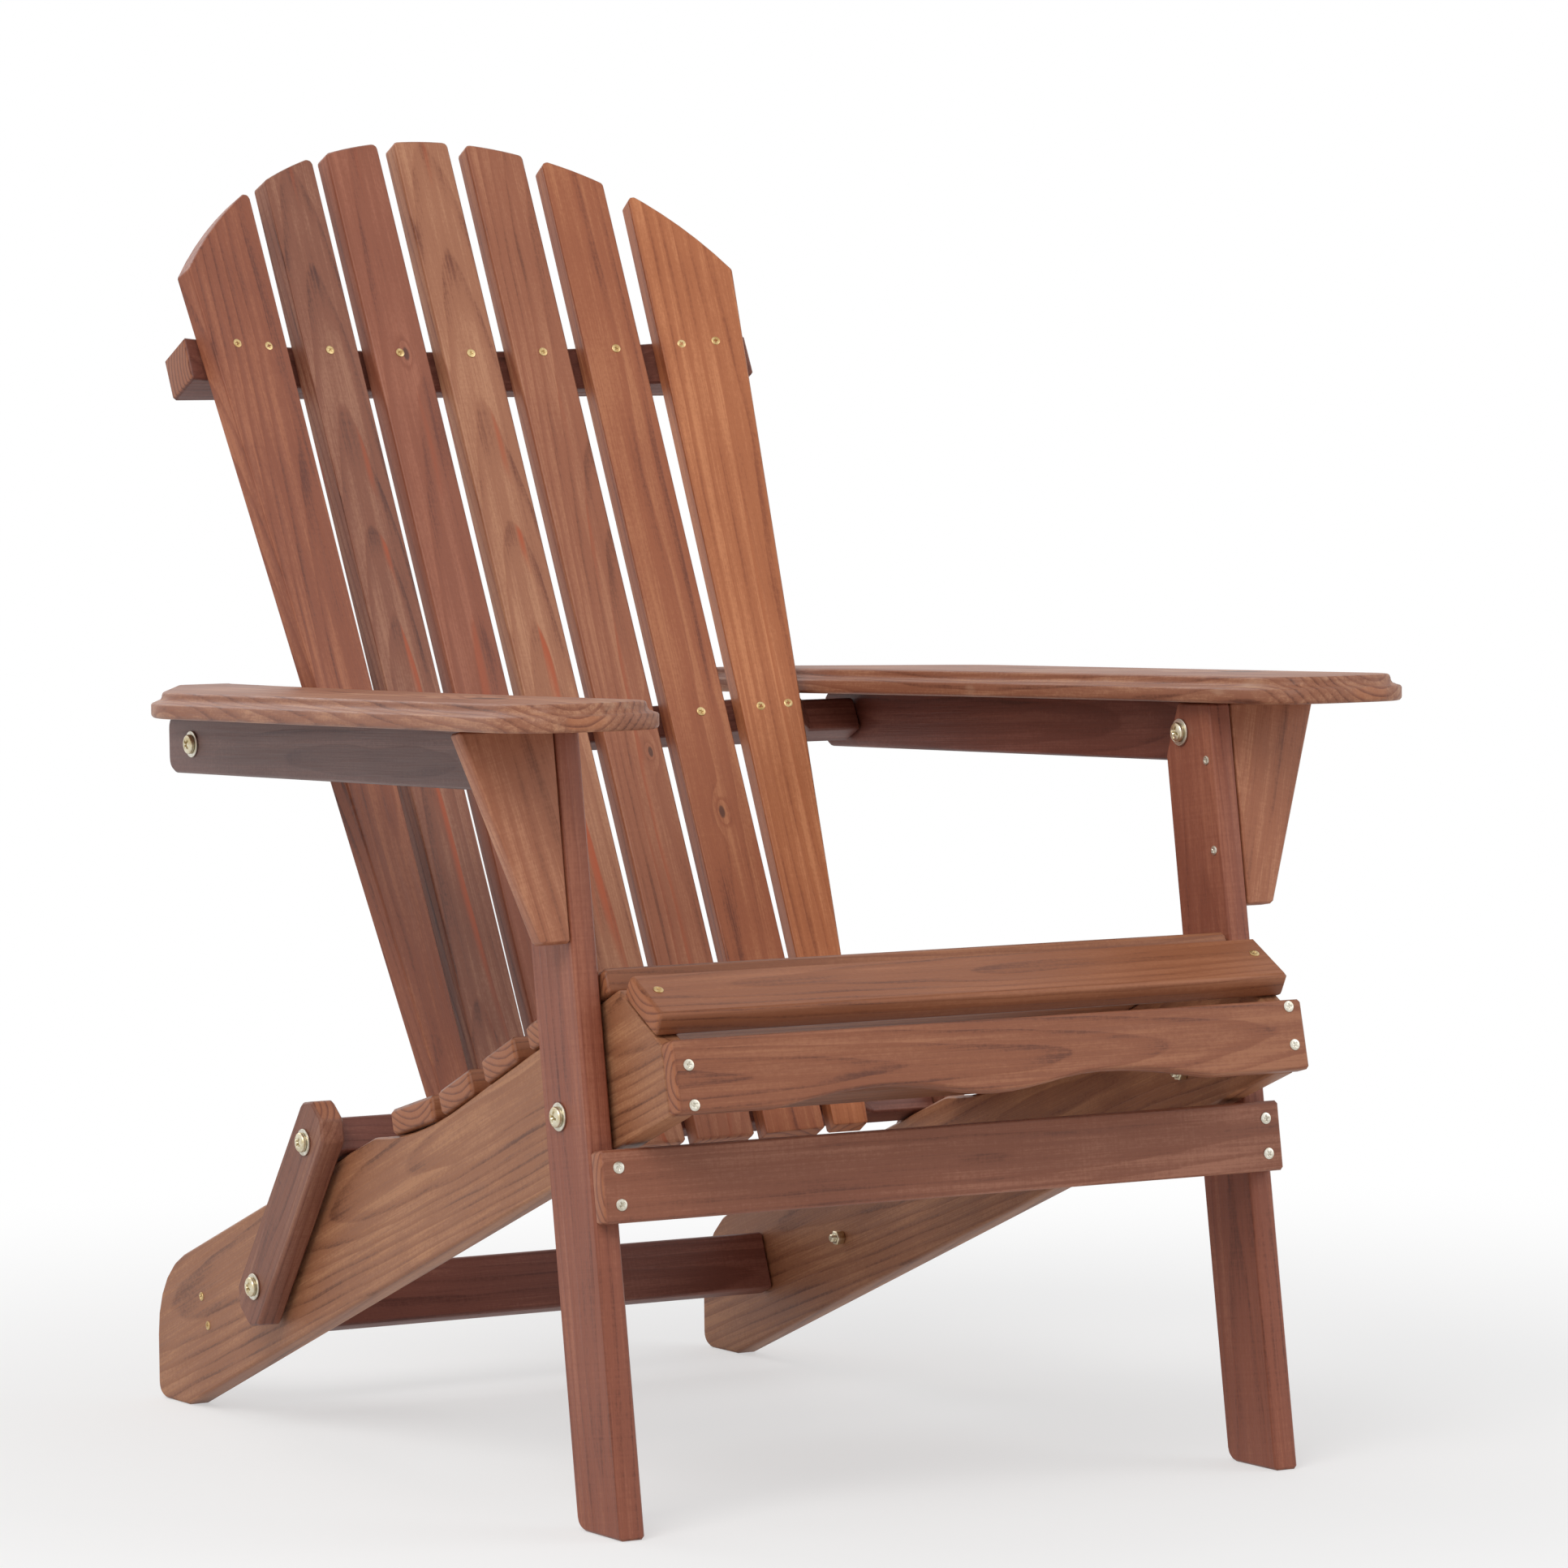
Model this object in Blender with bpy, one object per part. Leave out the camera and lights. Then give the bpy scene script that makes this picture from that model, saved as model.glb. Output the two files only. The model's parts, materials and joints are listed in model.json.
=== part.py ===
"""Folding adirondack chair in stained softwood, built board by board.

Axes: +X to the sitter's left, +Y to the rear, +Z up.  Side views are drawn in (y, z) with the
floor at z = 0, and the whole chair is moved at the end so that the origin is at the middle of its
footprint.  Five pivots a side (a, b, c, d, e) make the folding linkage.
"""
import math

import bpy
import bmesh
from mathutils import Matrix, Vector

# ---------------------------------------------------------------- driving dimensions, metres
BOARD = 0.019                # legs, links, stringers, seat slats, back slats, arm rails
THIN_BOARD = 0.016           # apron, cross rail and arm brackets
FIT = 0.0003                 # clearance between boards that are screwed together
LANE_GAP = 0.004             # between a stringer and the leg or link beside it
RAIL_GAP = 0.0008            # between a leg and the arm rail beside it
EASE = 0.0022                # eased board edges

SEAT_HALF_WIDTH = 0.2505     # outer face of a stringer
SEAT_OVERHANG = 0.0015       # seat slat past the stringer

LEG_WIDTH = 0.061
LEG_LEAN = math.radians(8.27)
LEG_FRONT_Y = -0.1313        # front corner of the foot
LEG_PIVOT_INSET = 0.0375     # pivots behind the leg's front edge
ARM_PIVOT_INSET = 0.0385
PIVOT_A_UP = 0.2867          # along the leg, floor corner to the seat pivot
PIVOT_B_UP = 0.5300          # along the leg, floor corner to the arm pivot
LEG_TOP_GAP = 0.0010         # between leg top and arm board
LEG_CHAMFER_DROP = 0.014     # chamfer's lower end, below the arm pivot
LEG_CHAMFER_TOP = 0.005      # chamfer's upper end, behind the arm pivot

PIVOT_D = (0.3411, 0.2258)
PIVOT_E = (0.4296, 0.1107)
BACK_RECLINE = math.radians(25.8)
PIVOT_C_UP = 0.3168          # from pivot d, along the back

STRINGER_BOTTOM_AT_0 = 0.2245
STRINGER_BOTTOM_SLOPE = -0.375
STRINGER_REAR_LINE = (0.3305, 0.2134, -0.3606)   # a point on the rear top edge, and its slope
STRINGER_REAR_Y = 0.652
STRINGER_REAR_RADIUS = 0.070
STRINGER_TOE_RADIUS = 0.012
SEAT_CREST = (-0.0939, 0.3660)
SEAT_RAMP_SLOPE = 0.545
SEAT_SLOPE = -0.42
SEAT_DISH_Y = 0.150          # where the seat's straight run turns into the dish
SEAT_DISH_CURVE = 1.45
SEAT_SLAT_WIDTH = 0.053
SEAT_SLAT_PITCH = 0.0725
SEAT_SLAT_FIRST = 0.010      # crest to the front edge of the second slat
SEAT_FRONT_SLAT_WIDTH = 0.050
SEAT_FRONT_SLAT_INSET = 0.0105
SEAT_REAR_SLAT_WIDTH = 0.068
SEAT_REAR_SLAT_GAP = 0.012
SEAT_SLATS = 6

APRON_FOOT = (-0.1656, 0.2863)   # lower rear corner of the apron
APRON_LEAN = math.radians(13.1)
APRON_HEIGHT = 0.0495
APRON_ARCH_HALF = 0.174
APRON_ARCH_RISE = 0.0098

STRETCHER_CENTRE = (0.5535, 0.0780)
STRETCHER_HEIGHT = 0.046
CROSS_RAIL_HEIGHT = 0.0495
CROSS_RAIL_TOP = 0.2610      # along the leg

BRACKET_BOTTOM = 0.4015      # along the leg
BRACKET_TOP = 0.5466
BRACKET_REACH_TOP = 0.072    # out from the leg
BRACKET_REACH_BOTTOM = 0.022

ARM_RAIL_HEIGHT = 0.044
ARM_RAIL_TAIL = 0.043        # past pivot c
ARM_RAIL_NOSE_RADIUS = 0.0215
ARM_RAIL_CORNER = 0.011
ARM_OUTER = SEAT_HALF_WIDTH + 0.1101
ARM_INNER = SEAT_HALF_WIDTH - 0.0105   # at its narrowest
ARM_WAIST_Y = -0.050
ARM_BOW = 0.0902
ARM_FRONT_Y = -0.173
ARM_NOSE_DEPTH = 0.070
ARM_NOSE_SQUARENESS = 3.0    # 2 is an ellipse, more is blunter
ARM_TAPER_Y = 0.405
ARM_TAPER = 0.46
ARM_REAR_Y = 0.600
ARM_TAIL_RADIUS = 0.018
ARM_EDGE_INSET = 0.009       # moulded top edge, seen from above

SLAT_WIDTH = 0.0476
SLAT_PITCH = 0.0587
SLAT_FAN = 0.0058            # growth of the pitch per metre up the back
OUTER_SLAT_INNER_EDGE = (0.1502, 0.0243)   # at the bottom, and its growth per metre
OUTER_SLAT_OUTER_EDGE = (0.1794, 0.0877)
BACK_SLATS = 7
SLAT_FOOT = -0.030
BACK_CURVE = 0.448           # forward offset per square metre of distance from the middle
BATTEN_FACE = 0.0069         # batten's front face in front of the pivot line, mid-chair
SLAT_SEAT_GAP = 0.0016       # flat slat on the hollow face of a batten
BACK_TOP_RADIUS = 0.295
BACK_TOP_CENTRE = 0.5155
SLAT_CORNER = 0.004

BATTEN_HEIGHT = 0.027
BATTEN_REAR = -0.0125        # rear face, behind the pivot line
BATTEN_END_FACE = 0.0125
UPPER_BATTEN_HEIGHT = 0.035
UPPER_BATTEN_UP = 0.6195
UPPER_BATTEN_REAR = -0.007
UPPER_BATTEN_HALF = 0.2445
MID_BATTEN_CURVE_HALF = 0.213
LOW_BATTEN_CURVE_HALF = 0.186
BATTEN_SHOULDER = 0.014

LINK_WIDTH = 0.044
LINK_END = 0.031
LINK_CLIP = 0.012

BOLT_RADIUS = 0.0030
HOLE_RADIUS = BOLT_RADIUS + 0.0006
HEAD_RADIUS = 0.0072
HEAD_HEIGHT = 0.0040
WASHER_RADIUS = 0.0098
WASHER_THICKNESS = 0.0015
NUT_RADIUS = 0.0058
NUT_HEIGHT = 0.0065
BOLT_TIP = 0.004             # thread showing past the nut
BOLT_BITE = 0.030            # into the end of a batten
ROUND_STEPS = 16

# ---------------------------------------------------------------- places worked out from them
STRINGER_INNER = SEAT_HALF_WIDTH - BOARD
LEG_INNER = SEAT_HALF_WIDTH + LANE_GAP
LEG_OUTER = LEG_INNER + BOARD
RAIL_INNER = LEG_OUTER + RAIL_GAP
RAIL_OUTER = RAIL_INNER + BOARD


def leg_point(up, back):
    """(y, z) of a point a distance up the leg and a distance behind its front edge."""
    sine, cosine = math.sin(LEG_LEAN), math.cos(LEG_LEAN)
    return LEG_FRONT_Y + up * sine + back * cosine, up * cosine - back * sine


PIVOT_A = leg_point(PIVOT_A_UP, LEG_PIVOT_INSET)
PIVOT_B = leg_point(PIVOT_B_UP, ARM_PIVOT_INSET)


def back_point(x, up, forward):
    """World point on the back: up from pivot d along the recline, forward towards the sitter."""
    sine, cosine = math.sin(BACK_RECLINE), math.cos(BACK_RECLINE)
    y = PIVOT_D[0] + up * sine - forward * cosine
    z = PIVOT_D[1] + up * cosine + forward * sine
    return Vector((x, y, z))


PIVOT_C = tuple(back_point(0, PIVOT_C_UP, 0).yz)
ARM_ANGLE = math.atan2(PIVOT_C[1] - PIVOT_B[1], PIVOT_C[0] - PIVOT_B[0])
ARM_LENGTH = math.dist(PIVOT_B, PIVOT_C)


def arm_point(along, up):
    """(y, z) of a point measured from pivot b towards pivot c, and up from that line."""
    sine, cosine = math.sin(ARM_ANGLE), math.cos(ARM_ANGLE)
    return PIVOT_B[0] + along * cosine - up * sine, PIVOT_B[1] + along * sine + up * cosine


def seat_top(y):
    """Height of the stringer's top edge under the slats."""
    crest_y, crest_z = SEAT_CREST
    if y < crest_y:
        return crest_z + SEAT_RAMP_SLOPE * (y - crest_y)
    dish = max(0.0, y - SEAT_DISH_Y)
    return crest_z + SEAT_SLOPE * (y - crest_y) + SEAT_DISH_CURVE * dish**2


# ---------------------------------------------------------------- scene and materials
for old in list(bpy.data.objects):
    bpy.data.objects.remove(old)


def material(name, colour, roughness, metallic=0.0):
    made = bpy.data.materials.new(name)
    made.use_nodes = True
    shader = made.node_tree.nodes["Principled BSDF"]
    shader.inputs["Base Color"].default_value = (*colour, 1)
    shader.inputs["Roughness"].default_value = roughness
    shader.inputs["Metallic"].default_value = metallic
    return made


RED_WOOD = material("red_stained_wood", (0.30, 0.10, 0.06), 0.45)
BROWN_WOOD = material("brown_stained_wood", (0.33, 0.14, 0.07), 0.45)
GOLD_ZINC = material("gold_zinc", (0.72, 0.60, 0.28), 0.3, 1.0)
ZINC = material("zinc", (0.66, 0.67, 0.68), 0.35, 1.0)


def joint_empty(name, yz, parent):
    made = bpy.data.objects.new(name, None)
    made.empty_display_size = 0.05
    bpy.context.scene.collection.objects.link(made)
    made.parent = parent
    made["world"] = (0.0, yz[0], yz[1])
    offset = Vector(made["world"])
    if parent:
        offset -= Vector(parent["world"])
    made.location = offset
    return made


chair = joint_empty("chair", (0.0, 0.0), None)
leg_frame = joint_empty("pivot_a", PIVOT_A, chair)
links = joint_empty("pivot_e", PIVOT_E, chair)
back = joint_empty("pivot_d", PIVOT_D, links)
arms = joint_empty("pivot_c", PIVOT_C, back)


# ---------------------------------------------------------------- shape helpers
def rounded(corners, radii, steps=5):
    """Outline with each corner replaced by an arc of its radius (0 keeps it sharp)."""
    outline = []
    count = len(corners)
    for i, (corner, radius) in enumerate(zip(corners, radii)):
        here = Vector(corner)
        if radius <= 0:
            outline.append(tuple(here))
            continue
        before = (Vector(corners[i - 1]) - here).normalized()
        after = (Vector(corners[(i + 1) % count]) - here).normalized()
        half = before.angle(after) / 2
        centre = here + (before + after).normalized() * radius / math.sin(half)
        start = here + before * radius / math.tan(half) - centre
        end = here + after * radius / math.tan(half) - centre
        sweep = start.angle_signed(end)
        for k in range(steps + 1):
            turn = Matrix.Rotation(-sweep * k / steps, 2)
            outline.append(tuple(centre + turn @ start))
    return outline


def finish(mesh_data, name, finish_material, body, ease=0.0):
    """Object on a body's pivot, its mesh given in world coordinates."""
    mesh = bpy.data.meshes.new(name)
    bmesh.ops.recalc_face_normals(mesh_data, faces=mesh_data.faces)
    mesh_data.to_mesh(mesh)
    mesh_data.free()
    mesh.transform(Matrix.Translation(-Vector(body["world"])))
    mesh.materials.append(finish_material)
    made = bpy.data.objects.new(name, mesh)
    bpy.context.scene.collection.objects.link(made)
    made.parent = body
    if ease > 0:
        bevel = made.modifiers.new("eased_edges", "BEVEL")
        bevel.width = ease
        bevel.segments = 1
        bevel.limit_method = "ANGLE"
        bevel.angle_limit = math.radians(35)
    return made


def stacked(name, rings, finish_material, body, ease=0.0):
    """Closed body through rings of points, with a flat cap on the first and the last."""
    shape = bmesh.new()
    layers = [[shape.verts.new(point) for point in ring] for ring in rings]
    for low, high in zip(layers, layers[1:]):
        for i in range(len(low)):
            j = (i + 1) % len(low)
            shape.faces.new((low[i], low[j], high[j], high[i]))
    shape.faces.new(layers[0])
    shape.faces.new(layers[-1])
    return finish(shape, name, finish_material, body, ease)


def side_board(name, outline, x_from, x_to, finish_material, body, ease=EASE):
    """Board drawn in (y, z) and given its thickness along X."""
    rings = [[Vector((x, y, z)) for y, z in outline] for x in (x_from, x_to)]
    return stacked(name, rings, finish_material, body, ease)


def drill(board, pivot, x_from, x_to):
    """Round hole along X about a pivot."""
    shape = bmesh.new()
    bmesh.ops.create_cone(
        shape, cap_ends=True, segments=ROUND_STEPS, radius1=HOLE_RADIUS, radius2=HOLE_RADIUS,
        depth=abs(x_to - x_from),
        matrix=Matrix.Translation((0.5 * (x_from + x_to), *pivot)) @ Matrix.Rotation(math.pi / 2, 4, "Y"),
    )
    cutter = finish(shape, f"drill_{board.name}_{len(board.modifiers)}", ZINC, chair)
    cutter.hide_render = True
    cutter.display_type = "WIRE"
    cut = board.modifiers.new("pivot_hole", "BOOLEAN")
    cut.operation = "DIFFERENCE"
    cut.solver = "EXACT"
    cut.object = cutter


def turned(name, profile, pivot, side, finish_material, body, steps=ROUND_STEPS):
    """Round piece about a pivot: profile is (x, radius) pairs along X, mirrored by side."""
    rings = []
    for x, radius in profile:
        angles = [2 * math.pi * k / steps for k in range(steps)]
        rings.append([
            Vector((side * x, pivot[0] + radius * math.cos(a), pivot[1] + radius * math.sin(a)))
            for a in angles
        ])
    made = stacked(name, rings, finish_material, body)
    made.data.shade_smooth()
    made.data.set_sharp_from_angle(angle=math.radians(30))
    return made


def ring_piece(name, x_from, x_to, inner, outer, pivot, side, finish_material, body, sides=ROUND_STEPS):
    """Washer or nut: a short tube along X with any number of sides; inner is measured to its flats."""
    shape = bmesh.new()
    inner /= math.cos(math.pi / sides)
    loops = []
    for x, radius, count in ((x_from, outer, sides), (x_to, outer, sides),
                             (x_to, inner, sides), (x_from, inner, sides)):
        loops.append([
            shape.verts.new((side * x, pivot[0] + radius * math.cos(2 * math.pi * k / count),
                             pivot[1] + radius * math.sin(2 * math.pi * k / count)))
            for k in range(count)
        ])
    for one, two in zip(loops, loops[1:] + loops[:1]):
        for i in range(sides):
            j = (i + 1) % sides
            shape.faces.new((one[i], one[j], two[j], two[i]))
    return finish(shape, name, finish_material, body)


SIDES = (("right", -1), ("left", 1))


# ---------------------------------------------------------------- seat frame
def stringer_outline():
    slope = STRINGER_BOTTOM_SLOPE
    lean = math.tan(APRON_LEAN)
    foot_y, foot_z = APRON_FOOT
    foot_y += FIT
    # Front edge along the apron's rear face, met with the bottom edge and with the front ramp.
    low_z = (STRINGER_BOTTOM_AT_0 + slope * (foot_y - lean * foot_z)) / (1 - slope * lean)
    low = (foot_y + lean * (low_z - foot_z), low_z)
    crest_y, crest_z = SEAT_CREST
    ramp = SEAT_RAMP_SLOPE
    top_z = (crest_z + ramp * (foot_y - lean * foot_z - crest_y)) / (1 - ramp * lean)
    front_top = (foot_y + lean * (top_z - foot_z), top_z)
    line_y, line_z, line_slope = STRINGER_REAR_LINE
    dish = []
    y = SEAT_DISH_Y
    while seat_top(y) > line_z + line_slope * (y - line_y) or y < SEAT_DISH_Y + 0.05:
        dish.append((y, seat_top(y)))
        y += 0.011
        if seat_top(y) < line_z + line_slope * (y - line_y) and y > SEAT_DISH_Y + 0.05:
            break
    # Continue the dish until it meets the straight rear edge.
    while seat_top(y) < line_z + line_slope * (y - line_y):
        dish.append((y, seat_top(y)))
        y += 0.006
    rear_top = (STRINGER_REAR_Y, line_z + line_slope * (STRINGER_REAR_Y - line_y))
    heel_y = -STRINGER_BOTTOM_AT_0 / slope
    corners = [low, front_top, SEAT_CREST, *dish, (y, line_z + line_slope * (y - line_y)),
               rear_top, (STRINGER_REAR_Y, 0.0), (heel_y, 0.0)]
    radii = [0.0, 0.0, 0.006] + [0.0] * (len(dish) + 1) + [STRINGER_REAR_RADIUS, STRINGER_TOE_RADIUS, 0.0]
    return rounded(corners, radii)


for label, side in SIDES:
    stringer = side_board(f"stringer_{label}", stringer_outline(), side * STRINGER_INNER,
                          side * SEAT_HALF_WIDTH, BROWN_WOOD, chair)
    for pivot in (PIVOT_A, PIVOT_E):
        drill(stringer, pivot, side * (STRINGER_INNER - 0.01), side * (SEAT_HALF_WIDTH + 0.01))


def slat_on_seat(front_y, width, downhill=False):
    """(y, z) outline of a slat whose flat underside bridges two points of the seat's curve."""
    low = Vector((front_y, seat_top(front_y)))
    angle = math.atan(SEAT_RAMP_SLOPE if downhill else SEAT_SLOPE)
    for _ in range(20):
        rear_y = front_y + width * math.cos(angle)
        angle = math.atan2(seat_top(rear_y) - low.y, rear_y - front_y)
    along = Vector((math.cos(angle), math.sin(angle)))
    up = Vector((-along.y, along.x))
    base = low + up * FIT
    top = base + up * BOARD
    return [tuple(base), tuple(base + along * width), tuple(top + along * width), tuple(top)], rear_y


SEAT_SLAT_HALF = SEAT_HALF_WIDTH + SEAT_OVERHANG
slope_cosine = math.cos(math.atan(SEAT_SLOPE))
front_slat_y = SEAT_CREST[0] - (SEAT_FRONT_SLAT_WIDTH + SEAT_FRONT_SLAT_INSET) * math.cos(
    math.atan(SEAT_RAMP_SLOPE))
slat_fronts = [(front_slat_y, SEAT_FRONT_SLAT_WIDTH, True)]
last_rear = 0.0
for index in range(SEAT_SLATS - 2):
    slat_y = SEAT_CREST[0] + (SEAT_SLAT_FIRST + index * SEAT_SLAT_PITCH) * slope_cosine
    slat_fronts.append((slat_y, SEAT_SLAT_WIDTH, False))
last_rear = slat_on_seat(slat_fronts[-1][0], SEAT_SLAT_WIDTH)[1]
slat_fronts.append((last_rear + SEAT_REAR_SLAT_GAP * slope_cosine, SEAT_REAR_SLAT_WIDTH, False))
for index, (slat_y, slat_width, downhill) in enumerate(slat_fronts, 1):
    outline, _ = slat_on_seat(slat_y, slat_width, downhill)
    side_board(f"seat_slat_{index}", outline, -SEAT_SLAT_HALF, SEAT_SLAT_HALF, BROWN_WOOD, chair, 0.003)


def apron():
    """Front board, its lower edge cut in two arches with a lobe between them."""
    steps = 12
    bottom = [(-SEAT_SLAT_HALF, 0.0)]
    for k in range(-steps, steps + 1):
        x = APRON_ARCH_HALF * k / steps
        near_end = 1 - abs(x) / APRON_ARCH_HALF
        if near_end < 0.5:
            rise = math.sin(math.pi * near_end)
        else:
            rise = 0.5 + 0.5 * math.cos(2 * math.pi * (near_end - 0.5))
        bottom.append((x, APRON_ARCH_RISE * rise))
    outline = bottom + [(SEAT_SLAT_HALF, 0.0), (SEAT_SLAT_HALF, APRON_HEIGHT), (-SEAT_SLAT_HALF, APRON_HEIGHT)]
    up = Vector((0, math.sin(APRON_LEAN), math.cos(APRON_LEAN)))
    forward = Vector((0, -up.z, up.y))
    foot = Vector((0, *APRON_FOOT))
    rings = [[foot + Vector((x, 0, 0)) + up * h + forward * deep for x, h in outline]
             for deep in (0.0, THIN_BOARD)]
    stacked("front_apron", rings, BROWN_WOOD, chair, EASE)


apron()


def box_outline(centre, angle, width, height):
    """(y, z) rectangle about a centre, its height leaning back by an angle."""
    up = Vector((math.sin(angle), math.cos(angle)))
    across = Vector((up.y, -up.x))
    middle = Vector(centre)
    return [tuple(middle + across * a * width / 2 + up * b * height / 2)
            for a, b in ((-1, -1), (1, -1), (1, 1), (-1, 1))]


side_board("rear_stretcher",
           box_outline(STRETCHER_CENTRE, -math.atan(STRINGER_BOTTOM_SLOPE), BOARD, STRETCHER_HEIGHT),
           -STRINGER_INNER + FIT, STRINGER_INNER - FIT, BROWN_WOOD, chair)


# ---------------------------------------------------------------- front legs
def leg_outline():
    """Foot flat on the floor; rear top corner cut back so that the leg can turn under the arm."""
    top = ARM_RAIL_HEIGHT / 2 + FIT - LEG_TOP_GAP
    heel_up = LEG_WIDTH * math.tan(LEG_LEAN)
    front_up = PIVOT_B_UP
    for _ in range(20):
        y, z = leg_point(front_up, 0.0)
        along = (y - PIVOT_B[0]) / math.cos(ARM_ANGLE)
        front_up += arm_point(along, top)[1] - z
    chamfer_low = leg_point(PIVOT_B_UP - LEG_CHAMFER_DROP, LEG_WIDTH)
    corners = [leg_point(0.0, 0.0), leg_point(heel_up, LEG_WIDTH), chamfer_low,
               arm_point(LEG_CHAMFER_TOP, top), leg_point(front_up, 0.0)]
    return rounded(corners, [0.0, 0.010, 0.0, 0.0, 0.0], 3)


for label, side in SIDES:
    leg = side_board(f"front_leg_{label}", leg_outline(), side * LEG_INNER, side * LEG_OUTER,
                     RED_WOOD, leg_frame)
    for pivot in (PIVOT_A, PIVOT_B):
        drill(leg, pivot, side * (LEG_INNER - 0.01), side * (LEG_OUTER + 0.01))
    bracket = [(BRACKET_BOTTOM, 0.0), (BRACKET_BOTTOM, BRACKET_REACH_BOTTOM),
               (BRACKET_TOP, BRACKET_REACH_TOP), (BRACKET_TOP, 0.0)]
    rings = [[Vector((side * (LEG_OUTER + FIT + out), *leg_point(up, deep))) for up, out in bracket]
             for deep in (0.0, THIN_BOARD)]
    stacked(f"arm_bracket_{label}", rings, RED_WOOD, leg_frame, EASE)

rail_outline = [leg_point(CROSS_RAIL_TOP - CROSS_RAIL_HEIGHT, -THIN_BOARD - FIT),
                leg_point(CROSS_RAIL_TOP - CROSS_RAIL_HEIGHT, -FIT),
                leg_point(CROSS_RAIL_TOP, -FIT), leg_point(CROSS_RAIL_TOP, -THIN_BOARD - FIT)]
side_board("cross_rail", rail_outline, -LEG_OUTER, LEG_OUTER, RED_WOOD, leg_frame)


# ---------------------------------------------------------------- arms
def arm_rail_outline():
    """Straight bar with a round nose about pivot b and eased rear corners."""
    half = ARM_RAIL_HEIGHT / 2
    tail = ARM_LENGTH + ARM_RAIL_TAIL
    steps = 8
    nose = []
    for k in range(steps + 1):
        angle = math.pi / 2 + math.pi * k / steps
        nose.append((ARM_RAIL_NOSE_RADIUS * math.cos(angle), half * math.sin(angle)))
    rear = rounded([(0, -half), (tail, -half), (tail, half), (0, half)], [0, ARM_RAIL_CORNER, ARM_RAIL_CORNER, 0])
    return [arm_point(a, b) for a, b in nose + rear[1:-1]]


def arm_outline():
    """(x, y) plan: blunt rounded nose, straight outside, bowed inside, tapered tail."""
    middle = (ARM_OUTER + ARM_INNER - ARM_BOW * (ARM_FRONT_Y + ARM_NOSE_DEPTH - ARM_WAIST_Y) ** 2) / 2
    half = ARM_OUTER - middle
    steps = 14
    nose = []
    for k in range(steps + 1):
        angle = math.pi * k / steps
        across = math.copysign(abs(math.cos(angle)) ** (2 / ARM_NOSE_SQUARENESS), math.cos(angle))
        ahead = abs(math.sin(angle)) ** (2 / ARM_NOSE_SQUARENESS)
        nose.append((middle - half * across, ARM_FRONT_Y + ARM_NOSE_DEPTH * (1 - ahead)))
    tail_outer = ARM_OUTER - ARM_TAPER * (ARM_REAR_Y - ARM_TAPER_Y)
    tail_inner = ARM_INNER - ARM_BOW * (ARM_REAR_Y - ARM_WAIST_Y) ** 2
    tail = rounded([(ARM_OUTER, ARM_TAPER_Y), (tail_outer, ARM_REAR_Y), (tail_inner, ARM_REAR_Y),
                    (tail_inner, ARM_TAPER_Y)], [0.060, ARM_TAIL_RADIUS, ARM_TAIL_RADIUS, 0.0])[:-1]
    inside = []
    for k in range(1, 8):
        y = ARM_REAR_Y - 0.03 + k / 8 * (ARM_FRONT_Y + ARM_NOSE_DEPTH - ARM_REAR_Y + 0.03)
        inside.append((ARM_INNER - ARM_BOW * (y - ARM_WAIST_Y) ** 2, y))
    return nose + tail + inside


def inset(outline, distance):
    """Outline moved inwards along the normal at each point; it runs anticlockwise."""
    moved = []
    for i, point in enumerate(outline):
        before, after = Vector(outline[i - 1]), Vector(outline[(i + 1) % len(outline)])
        run = (after - before).normalized()
        moved.append((point[0] - run.y * distance, point[1] + run.x * distance))
    return moved


for label, side in SIDES:
    rail = side_board(f"arm_rail_{label}", arm_rail_outline(), side * RAIL_INNER, side * RAIL_OUTER,
                      RED_WOOD, arms)
    drill(rail, PIVOT_B, side * (RAIL_INNER - 0.01), side * (RAIL_OUTER + 0.01))
    drill(rail, PIVOT_C, side * (RAIL_INNER - 0.01), side * (RAIL_OUTER + 0.01))
    underside = ARM_RAIL_HEIGHT / 2 + FIT
    plan = arm_outline()
    rings = []
    for up, pull in ((0.0, 0.0015), (0.0015, 0.0), (0.010, 0.0), (0.0125, 0.0035),
                     (BOARD, ARM_EDGE_INSET)):
        ring = []
        for x, y in inset(plan, pull):
            along = (y - PIVOT_B[0]) / math.cos(ARM_ANGLE)
            ring.append(Vector((side * x, *arm_point(along, underside + up))))
        rings.append(ring)
    stacked(f"arm_{label}", rings, BROWN_WOOD, arms)


# ---------------------------------------------------------------- back
def batten_face(x):
    return BATTEN_FACE + BACK_CURVE * x * x


def slat_edges(index, up):
    """Distances of a slat's two edges from the chair's middle plane, inner (or lower X) first."""
    place = index - (BACK_SLATS + 1) // 2
    if abs(place) == (BACK_SLATS - 1) // 2:
        inner = OUTER_SLAT_INNER_EDGE[0] + OUTER_SLAT_INNER_EDGE[1] * up
        outer = OUTER_SLAT_OUTER_EDGE[0] + OUTER_SLAT_OUTER_EDGE[1] * up
        return (inner, outer) if place > 0 else (-outer, -inner)
    middle = place * (SLAT_PITCH + SLAT_FAN * up)
    return middle - SLAT_WIDTH / 2, middle + SLAT_WIDTH / 2


def slat_top(x):
    return BACK_TOP_CENTRE + math.sqrt(BACK_TOP_RADIUS**2 - x**2)


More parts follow.
